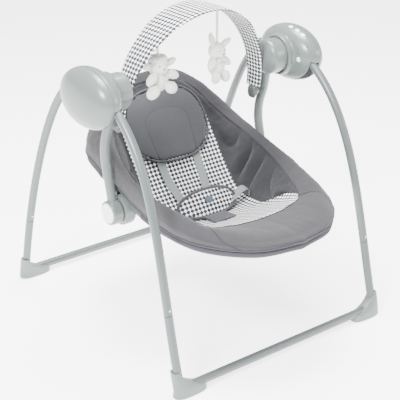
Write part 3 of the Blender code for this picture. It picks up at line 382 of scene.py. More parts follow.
def mixed(tree, factor, dark, light):
    """One colour over another by a factor socket."""
    made = node(tree, "ShaderNodeMix", {0: factor}, data_type="RGBA")
    for index, colour in ((6, dark), (7, light)):
        if isinstance(colour, bpy.types.NodeSocket):
            tree.links.new(colour, made.inputs[index])
        else:
            made.inputs[index].default_value = colour
    return made.outputs[2]


def shade_of(hex_colour, factor):
    red, green, blue, _ = linear(hex_colour)
    return (min(red * factor, 1), min(green * factor, 1), min(blue * factor, 1), 1.0)


def moulded_plastic(name, colour, roughness=0.26, grain=0.6):
    """Injection-moulded ABS: an even colour with a soft sheen and a very fine spark-eroded grain."""
    material, tree, shader = new_material(name, colour, roughness, IOR=1.5)
    place = node(tree, "ShaderNodeTexCoord").outputs["Object"]
    cloud = node(tree, "ShaderNodeTexNoise", {"Vector": place, "Scale": 14.0, "Detail": 3.0})
    tint = mixed(tree, cloud.outputs["Fac"], shade_of(colour, 0.965), shade_of(colour, 1.035))
    tree.links.new(tint, shader.inputs["Base Color"])
    # The real grain is about 0.05 mm, drawn at 0.8 mm so that it shows.
    fine = node(tree, "ShaderNodeTexNoise", {"Vector": place, "Scale": 1250.0, "Detail": 2.0})
    bump = node(tree, "ShaderNodeBump", {"Height": fine.outputs["Fac"], "Strength": 0.05 * grain, "Distance": 0.0004})
    tree.links.new(bump.outputs["Normal"], shader.inputs["Normal"])
    worn = node(
        tree,
        "ShaderNodeMapRange",
        {
            "Value": cloud.outputs["Fac"],
            "From Min": 0.3,
            "From Max": 0.7,
            "To Min": roughness - 0.03,
            "To Max": roughness + 0.05,
        },
    )
    tree.links.new(worn.outputs["Result"], shader.inputs["Roughness"])
    return material


def coated_tube(name, colour):
    """Powder-coated steel: a satin silver-grey coat with slight orange peel."""
    material, tree, shader = new_material(name, colour, 0.36, Metallic=0.25)
    place = node(tree, "ShaderNodeTexCoord").outputs["Object"]
    peel = node(tree, "ShaderNodeTexNoise", {"Vector": place, "Scale": 420.0, "Detail": 2.0})
    bump = node(tree, "ShaderNodeBump", {"Height": peel.outputs["Fac"], "Strength": 0.10, "Distance": 0.0004})
    tree.links.new(bump.outputs["Normal"], shader.inputs["Normal"])
    cloud = node(tree, "ShaderNodeTexNoise", {"Vector": place, "Scale": 22.0, "Detail": 4.0})
    tint = mixed(tree, cloud.outputs["Fac"], shade_of(colour, 0.95), shade_of(colour, 1.05))
    tree.links.new(tint, shader.inputs["Base Color"])
    return material


def turned_steel(name):
    """Zinc-plated steel: fine turning lines and a bright reflection."""
    material, tree, shader = new_material(name, "#C2C3C4", 0.3, Metallic=1.0)
    place = node(tree, "ShaderNodeTexCoord").outputs["Object"]
    lines = node(tree, "ShaderNodeTexNoise", {"Vector": place, "Scale": 900.0, "Detail": 1.0})
    bump = node(tree, "ShaderNodeBump", {"Height": lines.outputs["Fac"], "Strength": 0.08, "Distance": 0.0002})
    tree.links.new(bump.outputs["Normal"], shader.inputs["Normal"])
    return material


def cloth_surface(tree, shader, colour, pitch, strength=0.35, vector=None, spread=0.07):
    """Plain weave over a colour: two crossed sets of threads, with slubs, painted shade in the gaps between the
    threads and painted light on their tops.
    """
    if vector is None:
        vector = node(tree, "ShaderNodeTexCoord").outputs["UV"]
    waves = []
    scale = 1.0 / pitch / 6.283 * math.pi
    for axis in ("X", "Y"):
        waves.append(
            node(
                tree,
                "ShaderNodeTexWave",
                {"Vector": vector, "Scale": scale, "Distortion": 0.6, "Detail": 1.0, "Detail Scale": 3.0},
                wave_type="BANDS",
                bands_direction=axis,
            ).outputs["Fac"]
        )
    weave = node(tree, "ShaderNodeMath", {0: waves[0], 1: waves[1]}, operation="MULTIPLY").outputs[0]
    slub = node(tree, "ShaderNodeTexNoise", {"Vector": vector, "Scale": 60.0, "Detail": 5.0, "Roughness": 0.6})
    dark = node(tree, "ShaderNodeMath", {0: slub.outputs["Fac"], 1: weave}, operation="ADD").outputs[0]
    # Painted shade and light: the weave term darkens the gaps between the threads and lightens their tops; the slub
    # noise is the yarn's own uneven tone.
    factor = node(
        tree, "ShaderNodeMapRange", {"Value": dark, "From Min": 0.35, "From Max": 1.35, "To Min": 0.0, "To Max": 1.0}
    ).outputs["Result"]
    if isinstance(colour, str):
        tinted = mixed(tree, factor, shade_of(colour, 1 - spread), shade_of(colour, 1 + spread))
    else:
        shadow = node(tree, "ShaderNodeHueSaturation", {"Color": colour, "Value": 1 - spread}).outputs[0]
        lit = node(tree, "ShaderNodeHueSaturation", {"Color": colour, "Value": 1 + spread}).outputs[0]
        tinted = mixed(tree, factor, shadow, lit)
    tree.links.new(tinted, shader.inputs["Base Color"])
    bump = node(tree, "ShaderNodeBump", {"Height": weave, "Strength": strength, "Distance": 0.0006})
    tree.links.new(bump.outputs["Normal"], shader.inputs["Normal"])


def woven_fabric(name, colour, pitch=0.0016, strength=0.35, spread=0.07):
    """Woven polyester: matt, with a slight sheen at the edges. Threads of 0.4 mm are drawn at pitch to show."""
    material, tree, shader = new_material(name, colour, 0.92, Sheen_Weight=0.12, Sheen_Roughness=0.5)
    shader.inputs["Specular IOR Level"].default_value = 0.15
    cloth_surface(tree, shader, colour, pitch, strength, spread=spread)
    return material


STAR_POWER, STAR_REACH = 0.82, 0.55  # curve of a star's edge, and its size in its cell


def star_print(name, dark, light, pitch):
    """Printed cotton: rows of pale four-pointed stars, point to point, on a dark ground, woven beneath."""
    material, tree, shader = new_material(name, dark, 0.9, Sheen_Weight=0.08)
    shader.inputs["Specular IOR Level"].default_value = 0.15
    place = node(tree, "ShaderNodeTexCoord").outputs["UV"]
    scaled = node(tree, "ShaderNodeVectorMath", {0: place, 1: (1 / pitch, 1 / pitch, 1)}, operation="MULTIPLY")
    cell = node(tree, "ShaderNodeVectorMath", {0: scaled.outputs[0]}, operation="FRACTION")
    centred = node(tree, "ShaderNodeVectorMath", {0: cell.outputs[0], 1: (0.5, 0.5, 0)}, operation="SUBTRACT")
    apart = node(tree, "ShaderNodeSeparateXYZ", {0: centred.outputs[0]})
    arms = []
    for axis in ("X", "Y"):
        length = node(tree, "ShaderNodeMath", {0: apart.outputs[axis]}, operation="ABSOLUTE").outputs[0]
        arms.append(node(tree, "ShaderNodeMath", {0: length, 1: STAR_POWER}, operation="POWER").outputs[0])
    total = node(tree, "ShaderNodeMath", {0: arms[0], 1: arms[1]}, operation="ADD").outputs[0]
    star = node(
        tree,
        "ShaderNodeMapRange",
        {"Value": total, "From Min": STAR_REACH - 0.02, "From Max": STAR_REACH + 0.02, "To Min": 1.0, "To Max": 0.0},
    ).outputs["Result"]
    printed = mixed(tree, star, linear(dark), linear(light))
    cloth_surface(tree, shader, printed, 0.0016, 0.25, place, 0.05)
    return material


def ribbed_webbing(name, colour):
    """Woven nylon webbing: fine cross ribs and a slight gloss."""
    material, tree, shader = new_material(name, colour, 0.7, Sheen_Weight=0.1)
    place = node(tree, "ShaderNodeTexCoord").outputs["UV"]
    ribs = node(tree, "ShaderNodeTexWave", {"Vector": place, "Scale": 280.0, "Distortion": 0.3}, bands_direction="Y")
    warp = node(tree, "ShaderNodeTexWave", {"Vector": place, "Scale": 160.0, "Distortion": 0.2}, bands_direction="X")
    crossed = node(tree, "ShaderNodeMath", {0: ribs.outputs["Fac"], 1: warp.outputs["Fac"]}, operation="MULTIPLY")
    both = crossed.outputs[0]
    # Painted shade and light: the rib grooves are darker and the rib tops lighter, in step with the bump.
    tint = mixed(tree, both, shade_of(colour, 0.86), shade_of(colour, 1.08))
    tree.links.new(tint, shader.inputs["Base Color"])
    bump = node(tree, "ShaderNodeBump", {"Height": both, "Strength": 0.4, "Distance": 0.0005})
    tree.links.new(bump.outputs["Normal"], shader.inputs["Normal"])
    return material


def pile_fabric(name, colour):
    """Short plush pile: very matt, with a soft clumped nap that catches light at the edge."""
    material, tree, shader = new_material(name, colour, 1.0, Sheen_Weight=0.35, Sheen_Roughness=0.6)
    shader.inputs["Specular IOR Level"].default_value = 0.1
    place = node(tree, "ShaderNodeTexCoord").outputs["Object"]
    clumps = node(tree, "ShaderNodeTexNoise", {"Vector": place, "Scale": 260.0, "Detail": 4.0, "Roughness": 0.7})
    curls = node(tree, "ShaderNodeTexVoronoi", {"Vector": place, "Scale": 340.0})
    heights = {0: clumps.outputs["Fac"], 1: curls.outputs["Distance"]}
    both = node(tree, "ShaderNodeMath", heights, operation="MULTIPLY")
    # Painted shade: the low clumps of the nap, which the bump also sinks, are darker.
    tint = mixed(tree, clumps.outputs["Fac"], shade_of(colour, 0.86), shade_of(colour, 1.0))
    tree.links.new(tint, shader.inputs["Base Color"])
    bump = node(tree, "ShaderNodeBump", {"Height": both.outputs[0], "Strength": 0.7, "Distance": 0.0016})
    tree.links.new(bump.outputs["Normal"], shader.inputs["Normal"])
    return material


MATERIALS = {}


def make_materials():
    tint = colours()
    MATERIALS["housing"] = moulded_plastic("housing_abs", tint.plastic)
    MATERIALS["arm"] = moulded_plastic("arm_abs", tint.plastic, 0.28)
    MATERIALS["foot"] = moulded_plastic("foot_abs", "#626A68", 0.45, 1.5)
    MATERIALS["button"] = moulded_plastic("button_abs", tint.button, 0.3)
    MATERIALS["dark"] = moulded_plastic("dark_nylon", "#3A3B3E", 0.45)
    # A darker grey: painted shade on the tube joints' necks, and the buckle button's own grey.
    MATERIALS["recess"] = moulded_plastic("recess_shadow_abs", "#4C5150", 0.6)
    MATERIALS["tongue"] = moulded_plastic("tongue_abs", "#515756")
    MATERIALS["webbing_soft"] = pile_fabric("bow_velour", "#C9CDCB")
    MATERIALS["tube"] = coated_tube("powder_coat", tint.tube)
    MATERIALS["steel"] = turned_steel("zinc_steel")
    MATERIALS["rim"] = woven_fabric("rim_polyester", tint.rim)
    MATERIALS["wing"] = woven_fabric("wing_polyester", tint.wing)
    MATERIALS["headrest"] = woven_fabric("headrest_jersey", tint.headrest, 0.0013, 0.25)
    MATERIALS["print"] = star_print("star_print_cotton", tint.print_dark, tint.print_light, sizes().print_pitch)
    MATERIALS["webbing"] = ribbed_webbing("nylon_webbing", tint.webbing)
    MATERIALS["sleeve"] = woven_fabric("sleeve_polyester", "#3E3E43")
    MATERIALS["piping"] = woven_fabric("bias_binding", tint.piping, 0.0012)
    MATERIALS["patch"] = woven_fabric("slate_satin_patch", "#4A5360", 0.0009, 0.2)
    MATERIALS["plush"] = pile_fabric("white_plush", tint.plush)
    MATERIALS["copper"] = turned_steel("enamelled_copper")
    MATERIALS["copper"].node_tree.nodes["Principled BSDF"].inputs["Base Color"].default_value = linear("#B4683A")
    MATERIALS["board"] = moulded_plastic("solder_mask", "#1F6B3A", 0.4)
    MATERIALS["cell"] = moulded_plastic("cell_wrap", "#3C3D42", 0.35)


# ================================================================ frame
def leg_curve(front):
    """The leg's Bezier points and its floor corner, on the right."""
    side = -1 if front else 1
    corner = Vector((HALF_TRACK, side * HALF_BASE + SHIFT, FLOOR_AXIS))
    lean = Vector((0, -side * 0.27, 1)).normalized()
    low = corner + lean * BEND_TANGENT
    if front:
        top = Vector((LEG_TOP_X, HUB.y - 0.057, HUB.z + 0.0095))
        upper = Vector((LEG_TOP_X, HUB.y - 0.253, HUB.z - 0.080))
        lower = Vector((HALF_TRACK, low.y + 0.0785, low.z + 0.287))
    else:
        top = Vector((LEG_TOP_X, HUB.y + 0.063, HUB.z + 0.011))
        upper = Vector((LEG_TOP_X, HUB.y + 0.178, HUB.z + 0.029))
        lower = Vector((HALF_TRACK, low.y - 0.0725, low.z + 0.314))
    return top, upper, lower, low, corner


def leg_at(front, t):
    return bezier(*leg_curve(front)[:4], t)


def leg_parameter_at(front, height):
    low, high = 0.0, 1.0
    for _ in range(40):
        middle = (low + high) / 2
        if leg_at(front, middle).z > height:
            low = middle
        else:
            high = middle
    return (low + high) / 2


def base_half(front, start, steps=16, bend_steps=18):
    low, corner = leg_curve(front)[3:]
    floor_start = corner - X_AXIS * BEND_TANGENT
    leg = [leg_at(front, start + (1 - start) * k / steps) for k in range(steps + 1)]
    bend = [
        low * (1 - t) ** 2 + corner * (2 * t * (1 - t)) + floor_start * t**2
        for t in (k / bend_steps for k in range(1, bend_steps + 1))
    ]
    return leg + bend


def make_foot(front):
    """A moulded boot that fills the outside of the bend down to a wide flat sole, with the tube lying in its top."""
    low, corner = leg_curve(front)[3:]
    lean = (low - corner) / (low.z - corner.z)
    sections = []
    top = 0.0650
    for z in (0.0, 0.0012, 0.003, 0.008, 0.014, 0.020, 0.025, 0.030, 0.036, 0.042, 0.048, 0.054, 0.060, 0.0635, top):
        share = max(z - FLOOR_AXIS, 0.0) / (top - FLOOR_AXIS)
        inner = corner.x - 0.0760 + 0.0730 * math.sin(share * math.pi / 2) ** 0.62
        outer = corner.x + 0.0185 - 0.0040 * (z / top) ** 0.8
        half = 0.0200 - 0.0052 * (z / top) ** 0.7
        ease = 0.0022 * (1 - min(z / 0.003, 1)) ** 2
        centre_y = corner.y + lean.y * max(z - FLOOR_AXIS, 0.0)
        ring = []
        for k in range(72):
            x, y = superellipse(math.tau * k / 72, (outer - inner) / 2 - ease, half - ease, 2.7)
            ring.append(Vector(((outer + inner) / 2 + x, centre_y + y, z)))
        sections.append(ring)
    boot = loft("boot", sections)
    start = leg_parameter_at(front, FLOOR_AXIS + 0.10)
    route = base_half(front, start, 8) + [corner - X_AXIS * 0.12]
    boolean(boot, [curve_tube("bore", route, TUBE_R + 0.0004, 48)])
    add_modifier(boot, "BEVEL", width=0.0008, segments=2, limit_method="ANGLE", angle_limit=math.radians(50))
    return apply_all(boot)


class SWING_OT_frame(bpy.types.Operator):
    """Builds the coated tubes, the moulded feet and the spring buttons"""

    bl_idname = "swing.frame"
    bl_label = "Tube Frame"

    def execute(self, context):
        for front in (True, False):
            word, body = ("front", "front_frame") if front else ("rear", "root")
            joint = leg_parameter_at(front, JOINT_Z)
            leg = [leg_at(front, joint * k / 60) for k in range(61)]
            upper = curve_tube("leg", leg, TUBE_R, 40)
            left = mirrored_copy(upper, f"look_{word}_left_leg")
            upper.name = f"look_{word}_right_leg"
            for piece, side in ((upper, "right"), (left, "left")):
                place_piece(piece, MATERIALS["tube"], body, f"{word}_{side}_leg", slot="leg_tube")
                smooth_shade(piece)
            start = joint + 0.0022
            right = base_half(front, start)
            base = curve_tube(f"look_{word}_base_tube", right + mirror_x(right), TUBE_R, 40)
            place_piece(base, MATERIALS["tube"], body, word + "_base_tube", slot="leg_tube")
            smooth_shade(base)
            # The lower tube's swaged neck shows as a thin dark line at the joint; its darker grey is painted shade in
            # the gap between the two tubes.
            neck = curve_tube("neck", [leg_at(front, joint - 0.01), leg_at(front, joint + 0.01)], TUBE_R - 0.0012, 32)
            other = mirrored_copy(neck, f"look_{word}_left_neck")
            neck.name = f"look_{word}_right_neck"
            for piece in (neck, other):
                place_piece(piece, MATERIALS["recess"], body, slot="leg_tube")
                smooth_shade(piece)
            foot = make_foot(front)
            other = mirrored_copy(foot, f"look_{word}_left_foot")
            foot.name = f"look_{word}_right_foot"
            for piece, side in ((foot, "right"), (other, "left")):
                place_piece(piece, MATERIALS["foot"], body, f"{word}_{side}_foot", slot="foot_plastic")
                smooth_shade(piece)
            at = leg_at(front, leg_parameter_at(front, SNAP_Z))
            for sign, side in ((1, "right"), (-1, "left")):
                place = Vector((sign * at.x, at.y, at.z))
                name = f"{word}_{side}_snap_button"
                button = ball("look_" + name, place - Y_AXIS * (TUBE_R - 0.0012), (0.0033, 0.0034, 0.0033))
                place_piece(button, MATERIALS["steel"], name, name, slot="steel")
                smooth_shade(button)
        return {"FINISHED"}


# ================================================================ hubs
def hub_scale(x):
    share = min(abs(x - HUB.x) / HUB_OUT, 1.0)
    return (1 - share**HUB_POWER) ** (1 / HUB_POWER)


def oval(x, half_long, half_tall, count=128):
    return [
        Vector((x, HUB.y + half_long * math.cos(a), HUB.z + half_tall * math.sin(a)))
        for a in (math.tau * k / count for k in range(count))
    ]


def hub_oval(x, inset=0.0):
    scale = hub_scale(x)
    return oval(x, HUB_LONG * scale - inset, HUB_TALL * scale - inset)


def hub_top(x, y):
    """Point and outward normal on the top of the housing at x and y from its middle."""
    scale = hub_scale(x)
    z = HUB_TALL * math.sqrt(max(scale**2 - (y / HUB_LONG) ** 2, 0))
    step = 1e-4
    wider = HUB_TALL * math.sqrt(max(hub_scale(x + step) ** 2 - (y / HUB_LONG) ** 2, 0))
    further = HUB_TALL * math.sqrt(max(scale**2 - ((y + step) / HUB_LONG) ** 2, 0))
    normal = Vector((-(wider - z) / step, -(further - z) / step, 1)).normalized()
    return Vector((x, HUB.y + y, HUB.z + z)), normal


def hub_cover(name):
    """The outer dome, thin at its rim, with a shallow step where it meets the housing."""
    steps = 26
    angles = [math.radians(3.6 + 84.4 * k / steps) for k in range(steps + 1)]
    xs = [HUB.x + HUB_OUT * math.sin(a) for a in angles]
    rings = [hub_oval(SEAM_X + 0.0004, 0.0022), hub_oval(SEAM_X + 0.0004, 0.0005)]
    rings += [hub_oval(x) for x in xs if x > SEAM_X + 0.0008]
    tip = Vector((HUB.x + HUB_OUT, HUB.y, HUB.z))
    rings += [[tip.lerp(p, 0.5) + X_AXIS * 0.00001 for p in rings[-1]]]
    bm = bmesh.new()
    rows = [[bm.verts.new(p) for p in ring] for ring in rings]
    count = len(rows[0])
    for a, b in zip(rows, rows[1:]):
        for i in range(count):
            bm.faces.new((a[i], a[(i + 1) % count], b[(i + 1) % count], b[i]))
    pole = bm.verts.new(tip)
    for i in range(count):
        bm.faces.new((rows[-1][i], rows[-1][(i + 1) % count], pole))
    bm.faces.new(rows[0])
    return from_bmesh(name, bm)


def hub_housing(name):
    """The inner housing with its collar and the recess that the arm's head turns in, as a closed body."""
    steps = 22
    xs = [HUB.x - (HUB.x - COLLAR_ROOT_X) * math.sin(math.radians(90 * k / steps)) for k in range(steps + 1)]
    rings = [hub_oval(SEAM_X - 0.0004, 0.0022), hub_oval(SEAM_X - 0.0004, 0.0005), hub_oval(SEAM_X - 0.0009)]
    rings += [hub_oval(x) for x in xs]
    root = hub_scale(COLLAR_ROOT_X)
    wide, tall = HUB_LONG * root, HUB_TALL * root
    for k in range(1, 9):
        # A coved fillet runs the housing into its collar.
        t = k / 8
        x = COLLAR_ROOT_X - 0.0052 * (1 - math.cos(t * math.pi / 2))
        ease = math.sin(t * math.pi / 2)
        rings.append(oval(x, wide + (COLLAR_R + 0.0012 - wide) * ease, tall + (COLLAR_R + 0.0012 - tall) * ease))
    for x, radius in (
        (COLLAR_X + 0.0062, COLLAR_R + 0.0006),
        (COLLAR_X + 0.0024, COLLAR_R + 0.0002),
        (COLLAR_X + 0.0008, COLLAR_R - 0.0006),
        (COLLAR_X + 0.0001, COLLAR_R - 0.0022),
        (COLLAR_X, RECESS_R + 0.0016),
        (COLLAR_X + 0.0004, RECESS_R + 0.0004),
        (COLLAR_X + 0.0016, RECESS_R),
        (COLLAR_X + 0.0125, RECESS_R),
    ):
        rings.append(oval(x, radius, radius))
    return loft(name, rings)


def fold_slot():
    """The space that the front leg sweeps as the swing folds, tight above the leg at rest."""
    room = TUBE_R + 0.0010
    upper, lower = [], []
    for k in range(13):
        t = 0.30 * k / 12
        place, ahead = leg_at(True, t), leg_at(True, t + 0.01) - leg_at(True, t)
        across = Vector((0, -ahead.z, ahead.y)).normalized()
        across = across if across.z > 0 else -across
        upper.append(place + across * room)
        lower.append(place - across * room)
    turns = [Matrix.Rotation(math.radians(52 * k / 12), 3, "X") for k in range(13)]
    middle = HUB.copy()
    swept = [turns[-1] @ (p - middle) + middle for p in lower]
    outer = [turn @ (upper[-1] - middle) + middle for turn in turns[1:]]
    outline = upper + outer + swept[::-1]
    rings = [[Vector((x, p.y, p.z)) for p in outline] for x in (LEG_TOP_X - room, LEG_TOP_X + room)]
    return loft("slot", rings)


def socket_ring(front):
    """A rounded lip where a leg leaves the housing."""
    t = 0.13 if front else 0.14
    centre = leg_at(front, t)
    ahead = (leg_at(front, t + 0.02) - centre).normalized()
    side = ahead.cross(X_AXIS).normalized()
    points = [centre + (X_AXIS * math.cos(a) + side * math.sin(a)) * (TUBE_R + 0.0022) for a in
              (math.tau * k / 40 for k in range(40))]
    return curve_tube("lip", points, 0.0018, 16, True)


CONTROL_Y = {"power_button": -0.012, "speed_button": -0.038, "melody_button": -0.060}
CONTROL_X = 0.3065


def oval_button(name, place, normal, long=0.0078, wide=0.0052):
    """An oval push button with a rounded top, in the housing's surface."""
    along = (Y_AXIS - normal * normal.y).normalized()
    across = normal.cross(along)
    rings = []
    for lift, scale in ((-0.0070, 1.0), (0.0002, 1.0), (0.0009, 0.96), (0.0013, 0.86), (0.0015, 0.6)):
        rings.append(
            [
                place + normal * lift + along * (math.cos(a) * long * scale) + across * (math.sin(a) * wide * scale)
                for a in (math.tau * k / 40 for k in range(40))
            ]
        )
    return loft(name, rings)


class SWING_OT_hubs(bpy.types.Operator):
    """Builds both hub housings with their covers, controls, screw holes and battery cover"""

    bl_idname = "swing.hubs"
    bl_label = "Hubs"

    def execute(self, context):
        cover, housing = hub_cover("cover"), hub_housing("housing")
        rear_hole = curve_tube("rear_hole", [leg_at(False, 0.42 * k / 12) for k in range(13)], TUBE_R + 0.0007, 40)
        boolean(housing, [fold_slot(), rear_hole])
        for x, y in ((0.2950, 0.040), (0.2990, -0.088)):
            place, normal = hub_top(x, y)
            boolean(housing, [rod("screw", place + normal * 0.004, place - normal * 0.0030, 0.0021, 24)])
        left_housing = mirrored_copy(housing, "look_left_housing")
        left_cover = mirrored_copy(cover, "look_left_cover")
        place_piece(left_housing, MATERIALS["housing"], "root", "left_hub_inner_shell", slot="hub_plastic")
        place_piece(left_cover, MATERIALS["housing"], "root", "left_hub_outer_shell", slot="hub_plastic")
        for name, y in CONTROL_Y.items():
            place, normal = hub_top(CONTROL_X, y)
            well = oval_button("well", place + normal * 0.004, normal, 0.0082, 0.0056)
            boolean(housing, [well])
            cap = oval_button("look_" + name, place - normal * 0.0004, normal)
            place_piece(cap, MATERIALS["button"], name, name, slot="button_plastic")
            smooth_shade(cap)
        lamp = ball("look_power_lamp", hub_top(0.3055, -0.0755)[0], (0.0016, 0.0016, 0.0010))
        place_piece(lamp, MATERIALS["dark"], "root", slot="black_plastic")
        housing.name, cover.name = "look_right_housing", "look_right_cover"
        low, high = HUB + Vector((0.020, -0.078, -0.0235)), HUB + Vector((0.080, 0.064, 0.0235))
        door = bpy.data.objects.new("look_battery_cover", cover.data.copy())
        bpy.context.scene.collection.objects.link(door)
        inset = Vector((0.0003, 0.0003, 0.0003))
        boolean(door, [box("keep", low + inset, high - inset, 0.006, 6)], "INTERSECT")
        boolean(cover, [box("window", low, high, 0.006, 6)])
        place_piece(door, MATERIALS["housing"], "root", "battery_cover", slot="hub_plastic")
        place_piece(housing, MATERIALS["housing"], "root", "right_hub_inner_shell", slot="hub_plastic")
        place_piece(cover, MATERIALS["housing"], "root", "right_hub_outer_shell", slot="hub_plastic")
        for piece in (left_housing, left_cover, housing, cover, door):
            smooth_shade(piece, 32)
        both_sides(socket_ring(False), "leg_lip", MATERIALS["housing"], "root", slot="hub_plastic")
        place = Vector((COLLAR_ROOT_X + 0.0005, HUB.y - 0.0715, HUB.z))
        profile = [(place.x - 0.0024, 0.0), (place.x - 0.0030, 0.0052), (place.x - 0.0022, 0.0064)]
        profile += [(place.x - 0.0004, 0.0070), (place.x + 0.0060, 0.0070)]
        button = turned("fold", place, profile, 40)
        for sign, side in ((1, "right"), (-1, "left")):
            name = side + "_fold_button"
            piece = button if sign > 0 else mirrored_copy(button, "look_" + name)
            piece.name = "look_" + name
        for side in ("left", "right"):
            name = side + "_fold_button"
            piece = bpy.data.objects["look_" + name]
            place_piece(piece, MATERIALS["button"], name, name, slot="button_plastic")
            smooth_shade(piece)
        return {"FINISHED"}


# ================================================================ swing arms
def arm_route():
    drop = HUB.z - SEAT_PIVOT.z
    shape = ((0.02, -0.0105, 0.012), (0.17, -0.0065, 0.018), (0.29, -0.0010, 0.031), (0.44, 0.0, 0.049))
    shape += ((0.58, 0.0, 0.052), (0.73, 0.0, 0.041), (0.87, 0.0, 0.030), (0.98, 0.0, 0.024))
    return [Vector((ARM_X + dx, HUB.y + dy, HUB.z - drop * share)) for share, dx, dy in shape]


def blended(obj, voxel, rounds, factor=0.5):
    """Fuses overlapping bodies and rounds the corners between them, as a mould's fillets do."""
    add_modifier(obj, "REMESH", mode="VOXEL", voxel_size=voxel)
    add_modifier(obj, "SMOOTH", factor=factor, iterations=rounds)
    return apply_all(obj)


def joined(name, pieces):
    deselect()
    for piece in pieces:
        piece.select_set(True)
    bpy.context.view_layer.objects.active = pieces[0]
    bpy.ops.object.join()
    pieces[0].name = name
    return pieces[0]


class SWING_OT_arms(bpy.types.Operator):
    """Builds the swing arms, the recline buttons and the recline housings"""

    bl_idname = "swing.arms"
    bl_label = "Arms"

    def execute(self, context):
        inner = HEAD_INNER_X
        head_profile = [(inner, 0.0), (inner + 0.0008, 0.018), (inner + 0.0030, 0.031), (inner + 0.0062, 0.0395)]
        head_profile += [(inner + 0.0105, 0.0449), (inner + 0.0165, HEAD_R), (HEAD_OUTER_X, HEAD_R)]
        head = turned("head", HUB, head_profile)
        route = smooth(arm_route(), 60)
        radii = [1.0 + 0.10 * (1 - min(k / 12, 1)) for k in range(60)]
        beam = curve_tube("beam", route, ARM_R, 40, radii=radii)
        inner, outer = ARM_DISC
        disc_profile = [(inner, ARM_DISC_R - 0.003), (inner + 0.002, ARM_DISC_R), (outer - 0.004, ARM_DISC_R)]
        disc_profile += [(outer - 0.0012, ARM_DISC_R - 0.0008), (outer, ARM_DISC_R - 0.0028)]
        disc = turned("disc", SEAT_PIVOT, disc_profile)
        arm = joined("arm", [head, beam, disc])
        blended(arm, 0.0014, 5)
        recess = rod("recess", (outer - 0.007, *SEAT_PIVOT.yz), (outer + 0.01, *SEAT_PIVOT.yz), BUTTON_R + 0.0007, 96)
        boolean(arm, [recess])
        bore = rod("bore", (0.230, *BAR_PIVOT.yz), (0.2545, *BAR_PIVOT.yz), 0.0049, 32)
        boolean(arm, [bore])
        both_sides(arm, "swing_arm", MATERIALS["arm"], "swing", ("swing_arm",), "arm_plastic")

        face = outer + 0.0022
        profile = [(face - 0.0052, BUTTON_R), (face - 0.0016, BUTTON_R), (face - 0.0004, BUTTON_R - 0.0010)]
        profile += [(face, BUTTON_R - 0.0030), (face - 0.0004, BUTTON_R - 0.006)]
        profile += [(face - 0.0010, 0.012), (face - 0.0012, 0)]
        button = turned("recline", SEAT_PIVOT, profile)
        button.name = "look_right_recline_button"
        left = mirrored_copy(button, "look_left_recline_button")
        for piece, side in ((button, "right"), (left, "left")):
            name = side + "_recline_button"
            place_piece(piece, MATERIALS["button"], name, name, slot="button_plastic")
            smooth_shade(piece)

        inner, outer = RECLINE
        profile = [(inner, RECLINE_R - 0.009), (inner + 0.0014, RECLINE_R - 0.0045)]
        profile += [(inner + 0.004, RECLINE_R - 0.0012)]
        profile += [(inner + 0.008, RECLINE_R), (outer - 0.003, RECLINE_R), (outer - 0.0008, RECLINE_R - 0.001)]
        profile += [(outer, RECLINE_R - 0.0030)]
        housing = turned("housing", SEAT_PIVOT, profile)
        near = [p for p in loop_line(60) if abs(p.y - SEAT_PIVOT.y) < 0.08]
        boolean(housing, [curve_tube("channel", near, LOOP_R + 0.0003, 32)])
        both_sides(housing, "recline_housing", MATERIALS["arm"], "seat", ("recline_housing",), "housing_plastic")
        x = outer + 0.0004
        ring = turned("washer", SEAT_PIVOT, [(x, 0.0), (x, 0.030), (x + 0.0008, 0.0306), (x + 0.0009, 0.0)], 64)
        both_sides(ring, "recline_washer", MATERIALS["dark"], "seat", slot="black_plastic")
        return {"FINISHED"}


# ================================================================ seat
def shifted(rows):
    return [Vector((x, y + SHIFT, z)) for x, y, z in rows]


